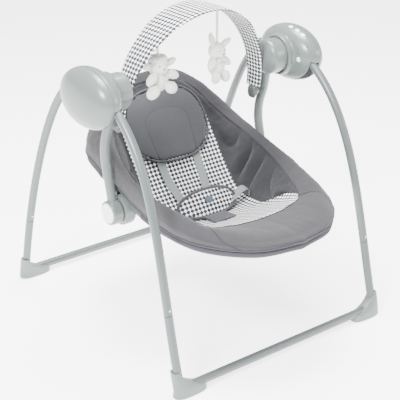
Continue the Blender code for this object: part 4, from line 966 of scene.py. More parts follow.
def seat_columns():
    """The seat's right half as lines from head to foot: spine, panel edge, wing seam, rim, side, lower edge."""
    spine = [(0, 0.180, 0.568), (0, 0.166, 0.547), (0, 0.145, 0.512), (0, 0.112, 0.463), (0, 0.075, 0.405)]
    spine += [(0, 0.025, 0.335), (0, -0.035, 0.279), (0, -0.110, 0.277), (0, -0.190, 0.301)]
    spine += [(0, -0.235, 0.321), (0, -0.262, 0.334)]
    panel = [(0, 0.186, 0.577), (0.068, 0.178, 0.565), (0.112, 0.158, 0.530), (0.138, 0.128, 0.478)]
    panel += [(0.142, 0.085, 0.415), (0.142, 0.030, 0.345), (0.140, -0.030, 0.296), (0.135, -0.120, 0.293)]
    panel += [(0.115, -0.215, 0.322), (0.060, -0.262, 0.336), (0, -0.274, 0.339)]
    seam = [(0, 0.192, 0.586), (0.075, 0.188, 0.576), (0.130, 0.168, 0.542), (0.160, 0.136, 0.500)]
    seam += [(0.185, 0.085, 0.463), (0.203, 0.022, 0.433), (0.209, -0.062, 0.401), (0.196, -0.150, 0.374)]
    seam += [(0.155, -0.251, 0.355), (0.085, -0.279, 0.348), (0, -0.288, 0.345)]
    rim = [(0, 0.207, 0.602), (0.090, 0.204, 0.588), (0.150, 0.182, 0.553), (0.185, 0.146, 0.516)]
    rim += [(0.210, 0.085, 0.472), (0.226, 0.010, 0.438), (0.230, -0.070, 0.414), (0.222, -0.165, 0.397)]
    rim += [(0.188, -0.285, 0.379), (0.105, -0.368, 0.363), (0, -0.392, 0.354)]
    side = [(0, 0.240, 0.525), (0.105, 0.238, 0.515), (0.175, 0.220, 0.490), (0.212, 0.182, 0.470)]
    side += [(0.224, 0.115, 0.442), (0.231, 0.025, 0.414), (0.233, -0.068, 0.386), (0.231, -0.175, 0.367)]
    side += [(0.208, -0.305, 0.361), (0.122, -0.408, 0.355), (0, 0.007 - SEAT_FRONT, 0.350)]
    edge = [(0, 0.252, 0.440), (0.100, 0.246, 0.437), (0.175, 0.232, 0.430), (0.212, 0.196, 0.421)]
    edge += [(0.222, 0.130, 0.407), (0.2245, 0.035, 0.381), (0.225, -0.065, 0.3535), (0.224, -0.180, 0.3385)]
    edge += [(0.205, -0.305, 0.339), (0.120, -0.410, 0.341), (0, -SEAT_FRONT, 0.341)]
    return [shifted(column) for column in (spine, panel, seam, rim, side, edge)]


COLUMNS = seat_columns()
SPINE, RIM = 0, 3


def seat_point(across, along):
    """A point of the seat's right half: across from 0 at the spine to 5 at the lower edge, along from 0 to 1."""
    return catmull([catmull(column, along) for column in COLUMNS], across / 5)


def loop_line(count):
    points = shifted(
        [
            (0, 0.0090 - SEAT_FRONT, 0.3290), (0.115, -0.4020, 0.3290), (0.197, -0.3000, 0.3265),
            (0.2160, -0.1800, 0.3260), (0.2170, -0.0650, 0.3370), (0.2170, 0.0, 0.3500), (0.2160, 0.0600, 0.3665),
            (0.2130, 0.1250, 0.3900), (0.2030, 0.1900, 0.4070), (0.1680, 0.2240, 0.4160), (0.0970, 0.2390, 0.4240),
            (0, 0.2450, 0.4270),
        ]
    )
    return smooth(points, count)


class SWING_OT_seat_tubes(bpy.types.Operator):
    """Builds the tube loop that carries the seat and the tube that shapes its back"""

    bl_idname = "swing.seat_tubes"
    bl_label = "Seat Tubes"

    def execute(self, context):
        loop = loop_line(140)
        front = [p for p in loop if p.y < SEAT_PIVOT.y - 0.026]
        rear = [p for p in loop if p.y > SEAT_PIVOT.y + 0.026]
        back = shifted(
            [
                (0.2010, 0.0900, 0.4030), (0.1960, 0.1120, 0.4380), (0.1840, 0.1480, 0.4820),
                (0.1500, 0.1850, 0.5200), (0.0850, 0.2050, 0.5480), (0, 0.2070, 0.5600),
            ]
        )
        back = smooth(back, 60)
        for name, points, radius in (
            ("seat_front_tube", mirror_x(front[1:]) + front, LOOP_R),
            ("seat_rear_tube", rear + mirror_x(rear[:-1]), LOOP_R),
            ("seat_back_tube", back + mirror_x(back[:-1]), 0.0065),
        ):
            tube = curve_tube("look_" + name, points, radius, 32)
            place_piece(tube, MATERIALS["tube"], "seat", name, slot="seat_tube")
            smooth_shade(tube)
        return {"FINISHED"}


# ================================================================ sewn seat
FRONT_SEAM_SWEEP = 0.075
HEAD_SEAM = 0.24  # where the star print starts, behind the head cushion, as a share of the seat's length
RIDGE = 0.8  # where the wings end and the front panel starts, as a share of the seat's length


def length_of(points):
    return sum((b - a).length for a, b in zip(points, points[1:]))


def run_beside(line, runs, place):
    """How far along a line, seen from the side, its nearest point to a place lies."""
    best = (1e9, 0.0)
    for k in range(len(line) - 1):
        start = Vector((line[k].y, line[k].z))
        step = Vector((line[k + 1].y, line[k + 1].z)) - start
        offset = Vector((place.y, place.z)) - start
        t = min(max(offset.dot(step) / step.length_squared, 0.0), 1.0)
        best = min(best, ((offset - step * t).length, runs[k] + t * (runs[k + 1] - runs[k])))
    return best[1]


def grid_object(name, across, along, point, mirror=True):
    """An open sheet of the seat's right half, with its UV in metres, joined to its mirror image."""
    bm = bmesh.new()
    layer = bm.loops.layers.uv.new("cut")
    rows = [[point(u, v) for u in across(v)] for v in along]
    verts = [[bm.verts.new(p) for p in row] for row in rows]
    line = smooth(COLUMNS[SPINE], 120)
    line.append(line[-1] + (line[-1] - line[-2]).normalized() * 0.2)
    runs = [0.0]
    for a, b in zip(line, line[1:]):
        runs.append(runs[-1] + (b - a).length)
    widths = []
    for row in rows:
        made = [row[0].x]
        for a, b in zip(row, row[1:]):
            made.append(made[-1] + math.hypot(b.x - a.x, b.z - a.z))
        widths.append(made)
    lengths = [[run_beside(line, runs, place) for place in row] for row in rows]
    columns = list(zip(*rows))
    wide, long = 2 * max(map(length_of, rows)), max(map(length_of, columns))
    for j in range(len(rows) - 1):
        for i in range(len(rows[0]) - 1):
            places = ((j, i), (j + 1, i), (j + 1, i + 1), (j, i + 1))
            face = bm.faces.new([verts[b][a] for b, a in places])
            for loop, (b, a) in zip(face.loops, places):
                loop[layer].uv = (widths[b][a], -lengths[b][a])
    mesh = bpy.data.meshes.new(name)
    bm.to_mesh(mesh)
    bm.free()
    obj = bpy.data.objects.new(name, mesh)
    bpy.context.scene.collection.objects.link(obj)
    if mirror:
        add_modifier(obj, "MIRROR", use_axis=(True, False, False), merge_threshold=2e-4)
        apply_all(obj)
    activate(obj)
    bpy.ops.object.mode_set(mode="EDIT")
    bpy.ops.mesh.select_all(action="SELECT")
    bpy.ops.mesh.remove_doubles(threshold=2e-5)
    bpy.ops.mesh.normals_make_consistent(inside=False)
    bpy.ops.object.mode_set(mode="OBJECT")
    # The side that faces the baby, or the outside, is the front.
    facing = sum((p.normal.dot(outward_at(p.center)) * p.area for p in obj.data.polygons))
    if facing < 0:
        obj.data.flip_normals()
    return obj


def outward_at(place):
    """Roughly the way that the seat's visible face looks at a place."""
    middle = Vector((0, -0.06 + SHIFT, 0.40))
    away = place - middle
    flat = Vector((place.x, place.y + 0.06 - SHIFT, 0))
    reach = flat.length
    if reach > 0.215 and place.z < seat_rim_height(place) - 0.004:
        return flat.normalized()
    return Vector((-place.x * 0.5, -away.y * 0.8, 0.30)).normalized()


def seat_rim_height(place):
    nearest = min(RIM_LINE, key=lambda p: (p.x - abs(place.x)) ** 2 + (p.y - place.y) ** 2)
    return nearest.z


RIM_LINE = smooth(COLUMNS[RIM], 60)


def push(obj, lift):
    """Moves each vertex along its normal by lift(place)."""
    normals = [v.normal.copy() for v in obj.data.vertices]
    for vertex, normal in zip(obj.data.vertices, normals):
        vertex.co += normal * lift(vertex.co.copy())
    obj.data.update()
    return obj


def sewn_sheet(obj, thick, material, slot="cover_fabric"):
    add_modifier(obj, "SOLIDIFY", thickness=thick, offset=-1, use_even_offset=False)
    apply_all(obj)
    nodes = ("seat_cover",) if obj.name == "look_seat_panel" else ()
    place_piece(obj, material, "seat", *nodes, slot=slot)
    smooth_shade(obj, 60)


def creases(place, size=0.05, depth=0.0022, seed=0.0):
    """Soft, uneven hollows in slack cloth."""
    wave = noise.fractal(place / size + Vector((seed, seed * 2.3, 0)), 0.8, 2.0, 3)
    return depth * wave


def spread(count, low=0.0, high=1.0):
    return [low + (high - low) * k / (count - 1) for k in range(count)]


def panel_reach(along):
    """How far the star print goes outwards: to the panel's seam, and to the ridge at the front."""
    t = min(max((along - 0.70) / 0.105, 0.0), 1.0)
    return 1.0 + t * t * (3 - 2 * t)


def front_seam(across):
    """Where the front panel starts: its seam runs forwards as it goes down the outer side."""
    t = min(max((across - 2.0) / 3.0, 0.0), 1.0)
    return RIDGE + FRONT_SEAM_SWEEP * t**1.3


def seam_run(across, count, low=0.0, high=1.0):
    return [seat_point(across, v) for v in spread(count, low, high)]


def piping(name, points, radius, material, cyclic=False, slot="cover_fabric"):
    cord = curve_tube(name, points, radius, 12, cyclic)
    place_piece(cord, material, "seat", slot=slot)
    return smooth_shade(cord)


class SWING_OT_seat(bpy.types.Operator):
    """Sews the seat: star-print panel, gathered wings, padded rim, front panel, binding and underside"""

    bl_idname = "swing.seat"
    bl_label = "Sewn Seat"

    def execute(self, context):
        cloth = MATERIALS
        # Star-print back, seat and ridge, filled with thin wadding.
        panel = grid_object(
            "look_seat_panel",
            lambda v: spread(41, 0.0, panel_reach(v)),
            spread(130, HEAD_SEAM, 1.0),
            seat_point,
        )
        push(panel, lambda p: 0.0004 + creases(p, 0.07, 0.0014, 3.1))
        sewn_sheet(panel, 0.0030, cloth["print"], "pattern_fabric")

        # Plain cloth behind the head cushion.
        head = grid_object(
            "look_seat_head", lambda v: spread(24, 0.0, 1.0), spread(30, 0.0, HEAD_SEAM + 0.004), seat_point
        )
        push(head, lambda p: -0.0002 + creases(p, 0.05, 0.0016, 6.1))
        sewn_sheet(head, 0.0024, cloth["wing"])

        # Wings, gathered along the panel and pulled smooth at the rim.
        wings = grid_object(
            "look_seat_wings",
            lambda v: spread(44, panel_reach(v), 2.0),
            spread(300, 0.0, RIDGE + 0.003),
            self.wing_point,
        )
        push(wings, lambda p: -0.0006 + creases(p, 0.045, 0.0022, 7.7))
        sewn_sheet(wings, 0.0024, cloth["wing"])

        # Padded rim that runs round the head end, and the outer side that hangs from it.
        rim = grid_object(
            "look_seat_rim", lambda v: spread(52, 2.0, 5.0), spread(230, 0.0, RIDGE + 0.004), self.rim_point
        )
        push(rim, lambda p: creases(p, 0.06, 0.0016, 1.7) + creases(p, 0.016, 0.0004, 5.1))
        sewn_sheet(rim, 0.0026, cloth["rim"])

        front = grid_object(
            "look_seat_front_panel", lambda v: spread(60, 2.0, 5.0), spread(70, RIDGE, 1.0), self.front_point
        )
        push(front, lambda p: creases(p, 0.08, 0.0016, 4.4) + creases(p, 0.02, 0.0004, 2.2))
        sewn_sheet(front, 0.0026, cloth["rim"])

        under = grid_object("look_seat_underside", lambda v: spread(30, 0.0, 2.02), spread(90), seat_point)
        push(under, lambda p: -0.0045 + creases(p, 0.05, 0.0010, 9.0))
        sewn_sheet(under, 0.0012, cloth["wing"])

        self.sew_edges(cloth)
        return {"FINISHED"}

    @staticmethod
    def wing_point(across, along):
        """The wing's surface with its gathers, which open towards the rim."""
        inner = panel_reach(along)
        share = (across - inner) / max(2.0 - inner, 1e-3)
        place = seat_point(across, along)
        if share <= 0.0 or share >= 1.0:
            return place
        # Gathers are deepest beside the hips and fade at the head and the ridge.
        strong = math.exp(-(((along - 0.60) / 0.17) ** 2)) + 0.15
        fade = min(max((RIDGE - along) / 0.06, 0), 1) * min(along / 0.1, 1)
        wander = noise.noise(Vector((along * 6.0, across * 1.1, 0.3))) * 1.1
        swell = 0.65 + 0.6 * noise.noise(Vector((along * 11.0, across * 0.9, 4.3)))
        phase = math.pi * (along * sizes().pleats + wander + 0.45 * share)
        fold = (2.0 * abs(math.sin(phase)) ** 0.8 - 1.15) * swell
        profile = math.sin(math.pi * share**0.75) ** 0.8
        depth = 0.0085 * strong * fade * profile * fold
        belly = -0.006 * math.sin(math.pi * share) * fade
        inward = Vector((-1.0, -0.05, 0.45)).normalized()
        return place + inward * (depth - belly)

    @staticmethod
    def rim_point(across, along):
        """The rim's surface, plumped by its wadding between the seams at 2 and 3.6."""
        along *= front_seam(across) / RIDGE
        place = seat_point(across, along)
        share = (across - 2.0) / 1.5
        if 0 < share < 1:
            middle = seat_point(3.55, along)
            inner = seat_point(2.0, along)
            across_line = (middle - inner).normalized()
            ahead = (seat_point(2.8, min(along + 0.01, 1)) - seat_point(2.8, max(along - 0.01, 0))).normalized()
            up = across_line.cross(ahead)
            up = up if up.z > 0 else -up
            fade = min(max((front_seam(across) + 0.004 - along) / 0.05, 0.0), 1.0)
            place += up * (0.0045 * math.sin(math.pi * share) ** 0.7 * fade)
        return place

    @staticmethod
    def front_point(across, along):
        seam = front_seam(across)
        along = seam + (along - RIDGE) * (1 - seam) / (1 - RIDGE)
        place = seat_point(across, along)
        share = min(max((across - 2.0) / 1.6, 0), 1)
        ends = min((along - seam) / 0.05, 1.0)
        return place + Vector((0, -0.25, 1)).normalized() * (0.0045 * math.sin(math.pi * share) ** 0.8 * ends)

    @staticmethod
    def sew_edges(cloth):
        """Seam lines, piping and the binding round the lower edge."""
        wing_seam = seam_run(2.0, 150, 0.0, RIDGE)
        whole = mirror_x(wing_seam[1:]) + wing_seam
        piping("look_wing_piping", [p + Z_AXIS * 0.0008 for p in whole], 0.0015, cloth["piping"])
        ridge = seam_run(2.0, 60, RIDGE, 1.0)
        whole = ridge + mirror_x(ridge[:-1])
        piping("look_ridge_piping", [p + Z_AXIS * 0.0004 for p in whole], 0.0012, cloth["piping"])
        inner = [seat_point(panel_reach(v), v) + Z_AXIS * 0.001 for v in spread(120, HEAD_SEAM, 0.72)]
        cord = curve_tube("panel_piping", inner, 0.0010, 12)
        both_sides(cord, "panel_piping", cloth["wing"], "seat", slot="cover_fabric")
        binding = seam_run(5.0, 200)
        loop = binding + mirror_x(binding[1:-1])
        piping("look_lower_binding", loop, 0.0026, cloth["sleeve"], True)
        line = [SWING_OT_seat.front_point(u, RIDGE + 0.002) for u in spread(50, 2.0, 4.98)]
        right = curve_tube("seam", line, 0.0015, 12)
        both_sides(right, "front_seam", cloth["piping"], "seat", slot="cover_fabric")
        loop = loop_line(160)
        front = [p for p in loop if p.y < -0.075 + SHIFT]
        rear = [p for p in loop if p.y > 0.105 + SHIFT]
        for name, points in (("front", mirror_x(front[1:]) + front), ("rear", rear + mirror_x(rear[:-1]))):
            piping(f"look_{name}_sleeve", points, LOOP_R + 0.0016, cloth["sleeve"])


# ================================================================ pads and harness
class SeatFace:
    """Finds points on the seat's inside, from a run along its centre line and a distance across it."""

    def __init__(self):
        obj = grid_object("face", lambda v: spread(20, 0.0, 2.0), spread(80), seat_point)
        bm = bmesh.new()
        bm.from_mesh(obj.data)
        self.tree = BVHTree.FromBMesh(bm)
        bm.free()
        bpy.data.objects.remove(obj)
        self.line = smooth(COLUMNS[SPINE], 80)
        self.runs = [0.0]
        for a, b in zip(self.line, self.line[1:]):
            self.runs.append(self.runs[-1] + (b - a).length)

    def frame(self, run):
        """Place, direction and inward normal of the centre line, run metres from its head end."""
        i = next((k for k in range(1, len(self.runs) - 1) if self.runs[k] >= run), len(self.runs) - 2)
        t = (run - self.runs[i - 1]) / (self.runs[i] - self.runs[i - 1])
        place = self.line[i - 1].lerp(self.line[i], t)
        ahead = (self.line[min(i + 1, len(self.line) - 1)] - self.line[max(i - 2, 0)]).normalized()
        normal = X_AXIS.cross(ahead)
        return place, ahead, normal if normal.z > 0 else -normal

    def point(self, x, run, lift):
        place, _, normal = self.frame(run)
        start = place + X_AXIS * x + normal * 0.09
        hit = self.tree.ray_cast(start, -normal)[0]
        return (hit if hit is not None else place + X_AXIS * x) + normal * lift


def superellipse(angle, half_wide, half_long, power):
    x = math.copysign(abs(math.cos(angle)) ** (2 / power), math.cos(angle)) * half_wide
    y = math.copysign(abs(math.sin(angle)) ** (2 / power), math.sin(angle)) * half_long
    return x, y


def slab(name, place, half_wide, half_long, thick, power, rings=16, count=112):
    """A thin crowned slab; place(x, along, lift) puts its flat coordinates in the seat."""
    bm = bmesh.new()
    skins = []
    for side in (1, -1):
        rows = [[bm.verts.new(place(0, 0, side * thick / 2))]]
        for k in range(1, rings + 1):
            share = k / rings
            lift = side * thick / 2 * math.sqrt(max(1 - share**6, 0.0)) if k < rings else 0.0
            if k == rings and side < 0:
                rows.append(skins[0][-1])
                continue
            ring = []
            for i in range(count):
                x, along = superellipse(math.tau * i / count, half_wide * share, half_long * share, power)
                ring.append(bm.verts.new(place(x, along, lift)))
            rows.append(ring)
        skins.append(rows)
        for i in range(count):
            bm.faces.new((rows[0][0], rows[1][i], rows[1][(i + 1) % count]))
        for a, b in zip(rows[1:], rows[2:]):
            for i in range(count):
                j = (i + 1) % count
                bm.faces.new((a[i], b[i], b[j], a[j]))
    return from_bmesh(name, bm)


def plumped(obj, voxel, cap, held_down, frames=20):
    """Fills a pad by a cloth simulation under pressure; held_down(place) is true where stitching holds it."""
    add_modifier(obj, "REMESH", mode="VOXEL", voxel_size=voxel)
    apply_all(obj)
    start = [v.co.copy() for v in obj.data.vertices]
    group = obj.vertex_groups.new(name="stitching")
    group.add([v.index for v in obj.data.vertices if held_down(v.co)], 1.0, "REPLACE")
    cloth = add_modifier(obj, "CLOTH")
    cloth.settings.use_pressure = True
    cloth.settings.uniform_pressure_force = sizes().puff
    cloth.settings.effector_weights.gravity = 0
    cloth.settings.vertex_group_mass = "stitching"
    cloth.settings.bending_stiffness = 0.4
    cloth.point_cache.frame_end = frames
    for step in range(1, frames + 1):
        bpy.context.scene.frame_set(step)
    apply_all(obj)
    bpy.context.scene.frame_set(1)
    for vertex, before in zip(obj.data.vertices, start):
        move = vertex.co - before
        if move.length > cap:
            vertex.co = before + move * (cap / move.length)
    add_modifier(obj, "SMOOTH", factor=0.5, iterations=2)
    add_modifier(obj, "SUBSURF", levels=1, render_levels=1)
    return apply_all(obj)


def planar_uv(obj, across, along):
    """UV in metres from two directions."""
    layer = obj.data.uv_layers.new(name="cut")
    for loop in obj.data.loops:
        place = obj.data.vertices[loop.vertex_index].co
        layer.data[loop.index].uv = (place.dot(across), place.dot(along))
    return obj


def strap(name, route, width, thick, across=None):
    """Webbing with a rounded edge along route; its width lies along across, or along X."""
    bm = bmesh.new()
    layer = bm.loops.layers.uv.new("cut")
    side_way = across or X_AXIS
    rings, runs = [], [0.0]
    for k, place in enumerate(route):
        ahead = (route[min(k + 1, len(route) - 1)] - route[max(k - 1, 0)]).normalized()
        side = (side_way - ahead * side_way.dot(ahead)).normalized()
        up = side.cross(ahead)
        edge = width / 2
        shape = [(-edge, 0), (-edge * 0.985, 0.42), (-edge * 0.9, 0.5)]
        shape += [(0, 0.5), (edge * 0.9, 0.5), (edge * 0.985, 0.42)]
        shape += [(edge, 0), (edge * 0.985, -0.42), (edge * 0.9, -0.5)]
        shape += [(0, -0.5), (-edge * 0.9, -0.5), (-edge * 0.985, -0.42)]
        rings.append([(bm.verts.new(place + side * u + up * (v * thick)), u) for u, v in shape])
        if k:
            runs.append(runs[-1] + (place - route[k - 1]).length)
    count = len(rings[0])
    for k in range(len(rings) - 1):
        for i in range(count):
            j = (i + 1) % count
            quad = (rings[k][i], rings[k][j], rings[k + 1][j], rings[k + 1][i])
            face = bm.faces.new([vert for vert, _ in quad])
            for loop, (_, u), run in zip(face.loops, quad, (runs[k], runs[k], runs[k + 1], runs[k + 1])):
                loop[layer].uv = (u, run)
    bm.faces.new([vert for vert, _ in rings[0]])
    bm.faces.new([vert for vert, _ in rings[-1]])
    return from_bmesh(name, bm)


HEADREST_RUN, HEADREST_HALF_WIDTH, HEADREST_HALF_LENGTH = 0.108, 0.129, 0.103
LAP_PAD = Vector((0, -0.069 + SHIFT, 0.3115))
LAP_UP, LAP_OUT = Vector((0, 0.60, 0.80)), Vector((0, -0.80, 0.60))
LAP_HALF_WIDTH, LAP_HALF_LENGTH = 0.093, 0.0365
SHOULDER_ROUTE = (
    (0.059, 0.206, 0.0006),
    (0.057, 0.250, 0.001),
    (0.051, 0.290, 0.002),
    (0.044, 0.330, 0.006),
    (0.036, 0.362, 0.012),
)
RIGHT_WAIST = (
    (0.138, 0.386, 0.002),
    (0.136, 0.388, 0.022),
    (0.114, 0.391, 0.034),
    (0.080, 0.392, 0.020),
    (0.034, 0.392, 0.0065),
)
LEFT_WAIST = (
    (0.117, 0.384, 0.002),
    (0.101, 0.388, 0.006),
    (0.080, 0.391, 0.009),
    (0.056, 0.392, 0.008),
    (0.034, 0.392, 0.0055),
)


class SWING_OT_pads(bpy.types.Operator):
    """Fills the head cushion and the lap pad, and lays the harness straps and the buckle on the seat"""

    bl_idname = "swing.pads"
    bl_label = "Pads and Harness"

    def execute(self, context):
        face = SeatFace()
        self.headrest(face)
        self.lap_pad(face)
        self.straps(face)
        self.buckle(face)
        return {"FINISHED"}

    @staticmethod
    def headrest(face):
        wide, long = HEADREST_HALF_WIDTH, HEADREST_HALF_LENGTH

        def place(x, along, lift):
            return face.point(x, HEADREST_RUN - along, 0.0075 + lift)

        stitch = []
        for k in range(41):
            angle = math.pi * k / 40
            stitch.append((math.cos(angle) * 0.070, 0.004 + math.sin(angle) ** 0.8 * 0.040))
        down = [(0.070 - 0.008 * t**1.3, 0.004 - 0.092 * t) for t in (k / 24 for k in range(1, 25))]
        line = [(x, y) for x, y in reversed(down)] + stitch + [(-x, y) for x, y in down]
        seams = [place(x, along, 0.0) for x, along in line]
        rim = [place(*superellipse(math.tau * k / 160, wide, long, 2.5), 0.0) for k in range(160)]
        marks = BVHTree.FromPolygons(
            [p for a, b in zip(seams, seams[1:]) for p in (a, b, a.lerp(b, 0.5) + Vector((0, 1e-4, 1e-4)))],
            [(3 * k, 3 * k + 1, 3 * k + 2) for k in range(len(seams) - 1)],
        )
        edge = BVHTree.FromPolygons(
            [p for a, b in zip(rim, rim[1:] + rim[:1]) for p in (a, b, a.lerp(b, 0.5) + Vector((0, 1e-4, 1e-4)))],
            [(3 * k, 3 * k + 1, 3 * k + 2) for k in range(len(rim))],
        )
        pad = slab("look_headrest", place, wide, long, 0.009, 2.5)
        plumped(
            pad,
            0.0042,
            0.0075,
            lambda p: (marks.find_nearest(p)[3] or 1) < 0.0058 or (edge.find_nearest(p)[3] or 1) < 0.004,
        )
        up = (place(0, 0.05, 0) - place(0, -0.05, 0)).normalized()
        planar_uv(pad, X_AXIS, up)
        place_piece(pad, MATERIALS["headrest"], "seat", "headrest_pad", slot="headrest_fabric")
        smooth_shade(pad, 75)
        cord = curve_tube("look_headrest_piping", rim, 0.0030, 12, True)
        place_piece(cord, MATERIALS["sleeve"], "seat", slot="cover_fabric")
        smooth_shade(cord)
        thread = curve_tube("look_headrest_stitching", [place(x, y, 0.0042) for x, y in line], 0.0007, 8)
        place_piece(thread, MATERIALS["piping"], "seat", slot="headrest_fabric")
        smooth_shade(thread)

    @staticmethod
    def lap_pad(face):
        wide, long = LAP_HALF_WIDTH, LAP_HALF_LENGTH

        def place(x, along, lift):
            sag = -0.010 * (x / wide) ** 2
            return LAP_PAD + X_AXIS * x + LAP_UP * along + LAP_OUT * (lift + sag)

        rim = [place(*superellipse(math.tau * k / 120, wide, long, 2.3), 0.0) for k in range(120)]
        edge = BVHTree.FromPolygons(
            [p for a, b in zip(rim, rim[1:] + rim[:1]) for p in (a, b, a.lerp(b, 0.5) + Vector((0, 1e-4, 1e-4)))],
            [(3 * k, 3 * k + 1, 3 * k + 2) for k in range(len(rim))],
        )
        pad = slab("look_lap_pad", place, wide, long, 0.009, 2.3, 12, 96)
        plumped(pad, 0.0040, 0.0050, lambda p: (edge.find_nearest(p)[3] or 1) < 0.0035)
        planar_uv(pad, X_AXIS, LAP_UP)
        place_piece(pad, MATERIALS["print"], "seat", "crotch_pad", slot="pattern_fabric")
        smooth_shade(pad, 75)
        cord = curve_tube("look_lap_piping", rim, 0.0044, 12, True)
        place_piece(cord, MATERIALS["sleeve"], "seat", slot="cover_fabric")
        smooth_shade(cord)
        patch = slab(
            "look_lap_patch", lambda x, y, n: place(x, y + 0.006, 0.0075 + n), 0.0130, 0.0075, 0.0060, 4.0, 8, 64
        )
        planar_uv(patch, X_AXIS, LAP_UP)
        place_piece(patch, MATERIALS["patch"], "seat", slot="cover_fabric")
        smooth_shade(patch, 50)
        low = place(0, -long * 0.6, -0.004)
        route = smooth(
            [low, low + Vector((0, -0.018, -0.016)), face.point(0, 0.425, 0.010), face.point(0, 0.475, 0.0040)], 24
        )
        tongue = strap("look_crotch_strap", route, 0.070, 0.004)
        place_piece(tongue, MATERIALS["sleeve"], "seat", slot="cover_fabric")
        smooth_shade(tongue)
        length = sum((b - a).length for a, b in zip(route, route[1:]))

    @staticmethod
    def straps(face):
        for sign, side in ((1, "right"), (-1, "left")):
            route = smooth([face.point(sign * x, run, 0.0026 + extra) for x, run, extra in SHOULDER_ROUTE], 40)
            belt = strap(f"look_{side}_shoulder_strap", route, WEBBING, 0.0018)
            place_piece(belt, MATERIALS["webbing"], "seat", side + "_shoulder_strap", slot="webbing")
            smooth_shade(belt)
            length = sum((b - a).length for a, b in zip(route, route[1:]))
            waist = RIGHT_WAIST if sign > 0 else LEFT_WAIST
            route = smooth([face.point(sign * x, run, 0.0028 + extra) for x, run, extra in waist], 40)
            belt = strap(f"look_{side}_waist_strap", route, WEBBING, 0.0018, face.frame(waist[0][1])[1])
            place_piece(belt, MATERIALS["webbing"], "seat", side + "_waist_strap", slot="webbing")
            smooth_shade(belt)
            length = sum((b - a).length for a, b in zip(route, route[1:]))

    @staticmethod
    def buckle(face):
        run = 0.392
        place, ahead, normal = face.point(0, run, 0.0014), *face.frame(run)[1:]
        stand = Matrix.Translation(place) @ Matrix((X_AXIS, normal.cross(X_AXIS), normal)).transposed().to_4x4()
        body = box("look_buckle", (-0.028, -0.0185, 0.0012), (0.028, 0.0185, 0.0130), 0.0034, 4)
        slots = []
        for s in (-1, 1):
            low, high = (s * 0.019 - 0.0022, -0.0135, -0.01), (s * 0.019 + 0.0022, 0.0135, 0.03)
            slots.append(box("slot", low, high, 0.001, 2))
        boolean(body, [rod("well", (0, 0, 0.0062), (0, 0, 0.05), 0.0090, 48), *slots])
        ring = ball("look_buckle_button", (0, 0, 0.0122), (0.0082, 0.0082, 0.0026))
        for piece in (body, ring):
            piece.data.transform(stand)
            smooth_shade(piece)
        place_piece(body, MATERIALS["dark"], "seat", "buckle", slot="black_plastic")
        place_piece(ring, MATERIALS["recess"], "buckle_button", "buckle_button", slot="button_grey")


# ================================================================ toy bar and toys
def bar_point(angle):
    return Vector(
        (
            BAR_HALF_SPAN * math.cos(angle),
            BAR_FOOT_Y - BAR_LEAN * math.sin(angle),
            BAR_FOOT_Z + BAR_RISE * math.sin(angle),
        )
    )


def bar_half_width(angle):
    return BAR_HALF_WIDTH + BAR_CROWN_EXTRA * math.sin(angle) ** 2


class SWING_OT_toy_bar(bpy.types.Operator):
    """Builds the padded star-print band and its end tongues"""

    bl_idname = "swing.toy_bar"
    bl_label = "Toy Bar"

    def execute(self, context):
        steps, corners = 150, 40
        bm = bmesh.new()
        layer = bm.loops.layers.uv.new("cut")
        rings, runs = [], [0.0]
        for k in range(steps + 1):
            angle = math.pi * k / steps
            point, half = bar_point(angle), bar_half_width(angle)
            out = Vector((math.cos(angle) / BAR_HALF_SPAN, 0, math.sin(angle) / BAR_RISE)).normalized()
            ring = []
            for i in range(corners):
                a = math.tau * (i + 0.5) / corners
                across = math.copysign(abs(math.cos(a)) ** 0.45, math.cos(a)) * half
                thick = BAR_THICK * 0.44 * (1 + 0.18 * noise.noise(point * 22))
                ring.append((bm.verts.new(point + Y_AXIS * across + out * (math.sin(a) * thick)), across))
            rings.append(ring)
            if k:
                runs.append(runs[-1] + (point - bar_point(math.pi * (k - 1) / steps)).length)
        for k in range(steps):
            for i in range(corners):
                j = (i + 1) % corners
                quad = (rings[k][i], rings[k][j], rings[k + 1][j], rings[k + 1][i])
                made = bm.faces.new([vert for vert, _ in quad])
                for loop, (_, u), run in zip(made.loops, quad, (runs[k], runs[k], runs[k + 1], runs[k + 1])):
                    loop[layer].uv = (u, run)
        for ring in (rings[0], rings[-1]):
            bm.faces.new([vert for vert, _ in ring])
        band = from_bmesh("look_toy_bar", bm)
        place_piece(band, MATERIALS["print"], "toy_bar", "toy_bar", slot="pattern_fabric")
        smooth_shade(band, 50)

        foot = bar_point(0.0)
        tongue = slab(
            "tongue",
            lambda x, along, n: Vector((BAR_HALF_SPAN + n, foot.y + 0.004 + x, BAR_FOOT_Z - 0.0185 + along)),
            0.0165,
            0.0190,
            0.0092,
            2.6,
            10,
            64,
        )
        both_sides(tongue, "bar_tongue", MATERIALS["tongue"], "toy_bar", ("bar_clip",), "arm_plastic")
        arm_side = ARM_X - ARM_R - 0.0010
        profile = [(BAR_HALF_SPAN + 0.003, 0.0135), (BAR_HALF_SPAN + 0.0085, 0.0128)]
        profile += [(arm_side - 0.001, 0.0080), (arm_side, 0.0070)]
        wedge = turned("wedge", BAR_PIVOT, profile, 48)
        both_sides(wedge, "bar_boss", MATERIALS["arm"], "toy_bar", slot="arm_plastic")
        return {"FINISHED"}


def soft_toy(name, parts, voxel, body, cad_node):
    """Ellipsoids sewn into one stuffed toy with a fluffy skin."""
    made = [ball("part", centre, radii, turn, 24) for centre, radii, turn in parts]
    toy = joined(name, made)
    blended(toy, voxel, 4, 0.5)
    normals = [v.normal.copy() for v in toy.data.vertices]
    for vertex, normal in zip(toy.data.vertices, normals):
        vertex.co += normal * (0.0009 * noise.fractal(vertex.co * 190, 0.9, 2.1, 3) + 0.0004)
    place_piece(toy, MATERIALS["plush"], body, cad_node, slot="plush")
    smooth_shade(toy, 80)
    return toy


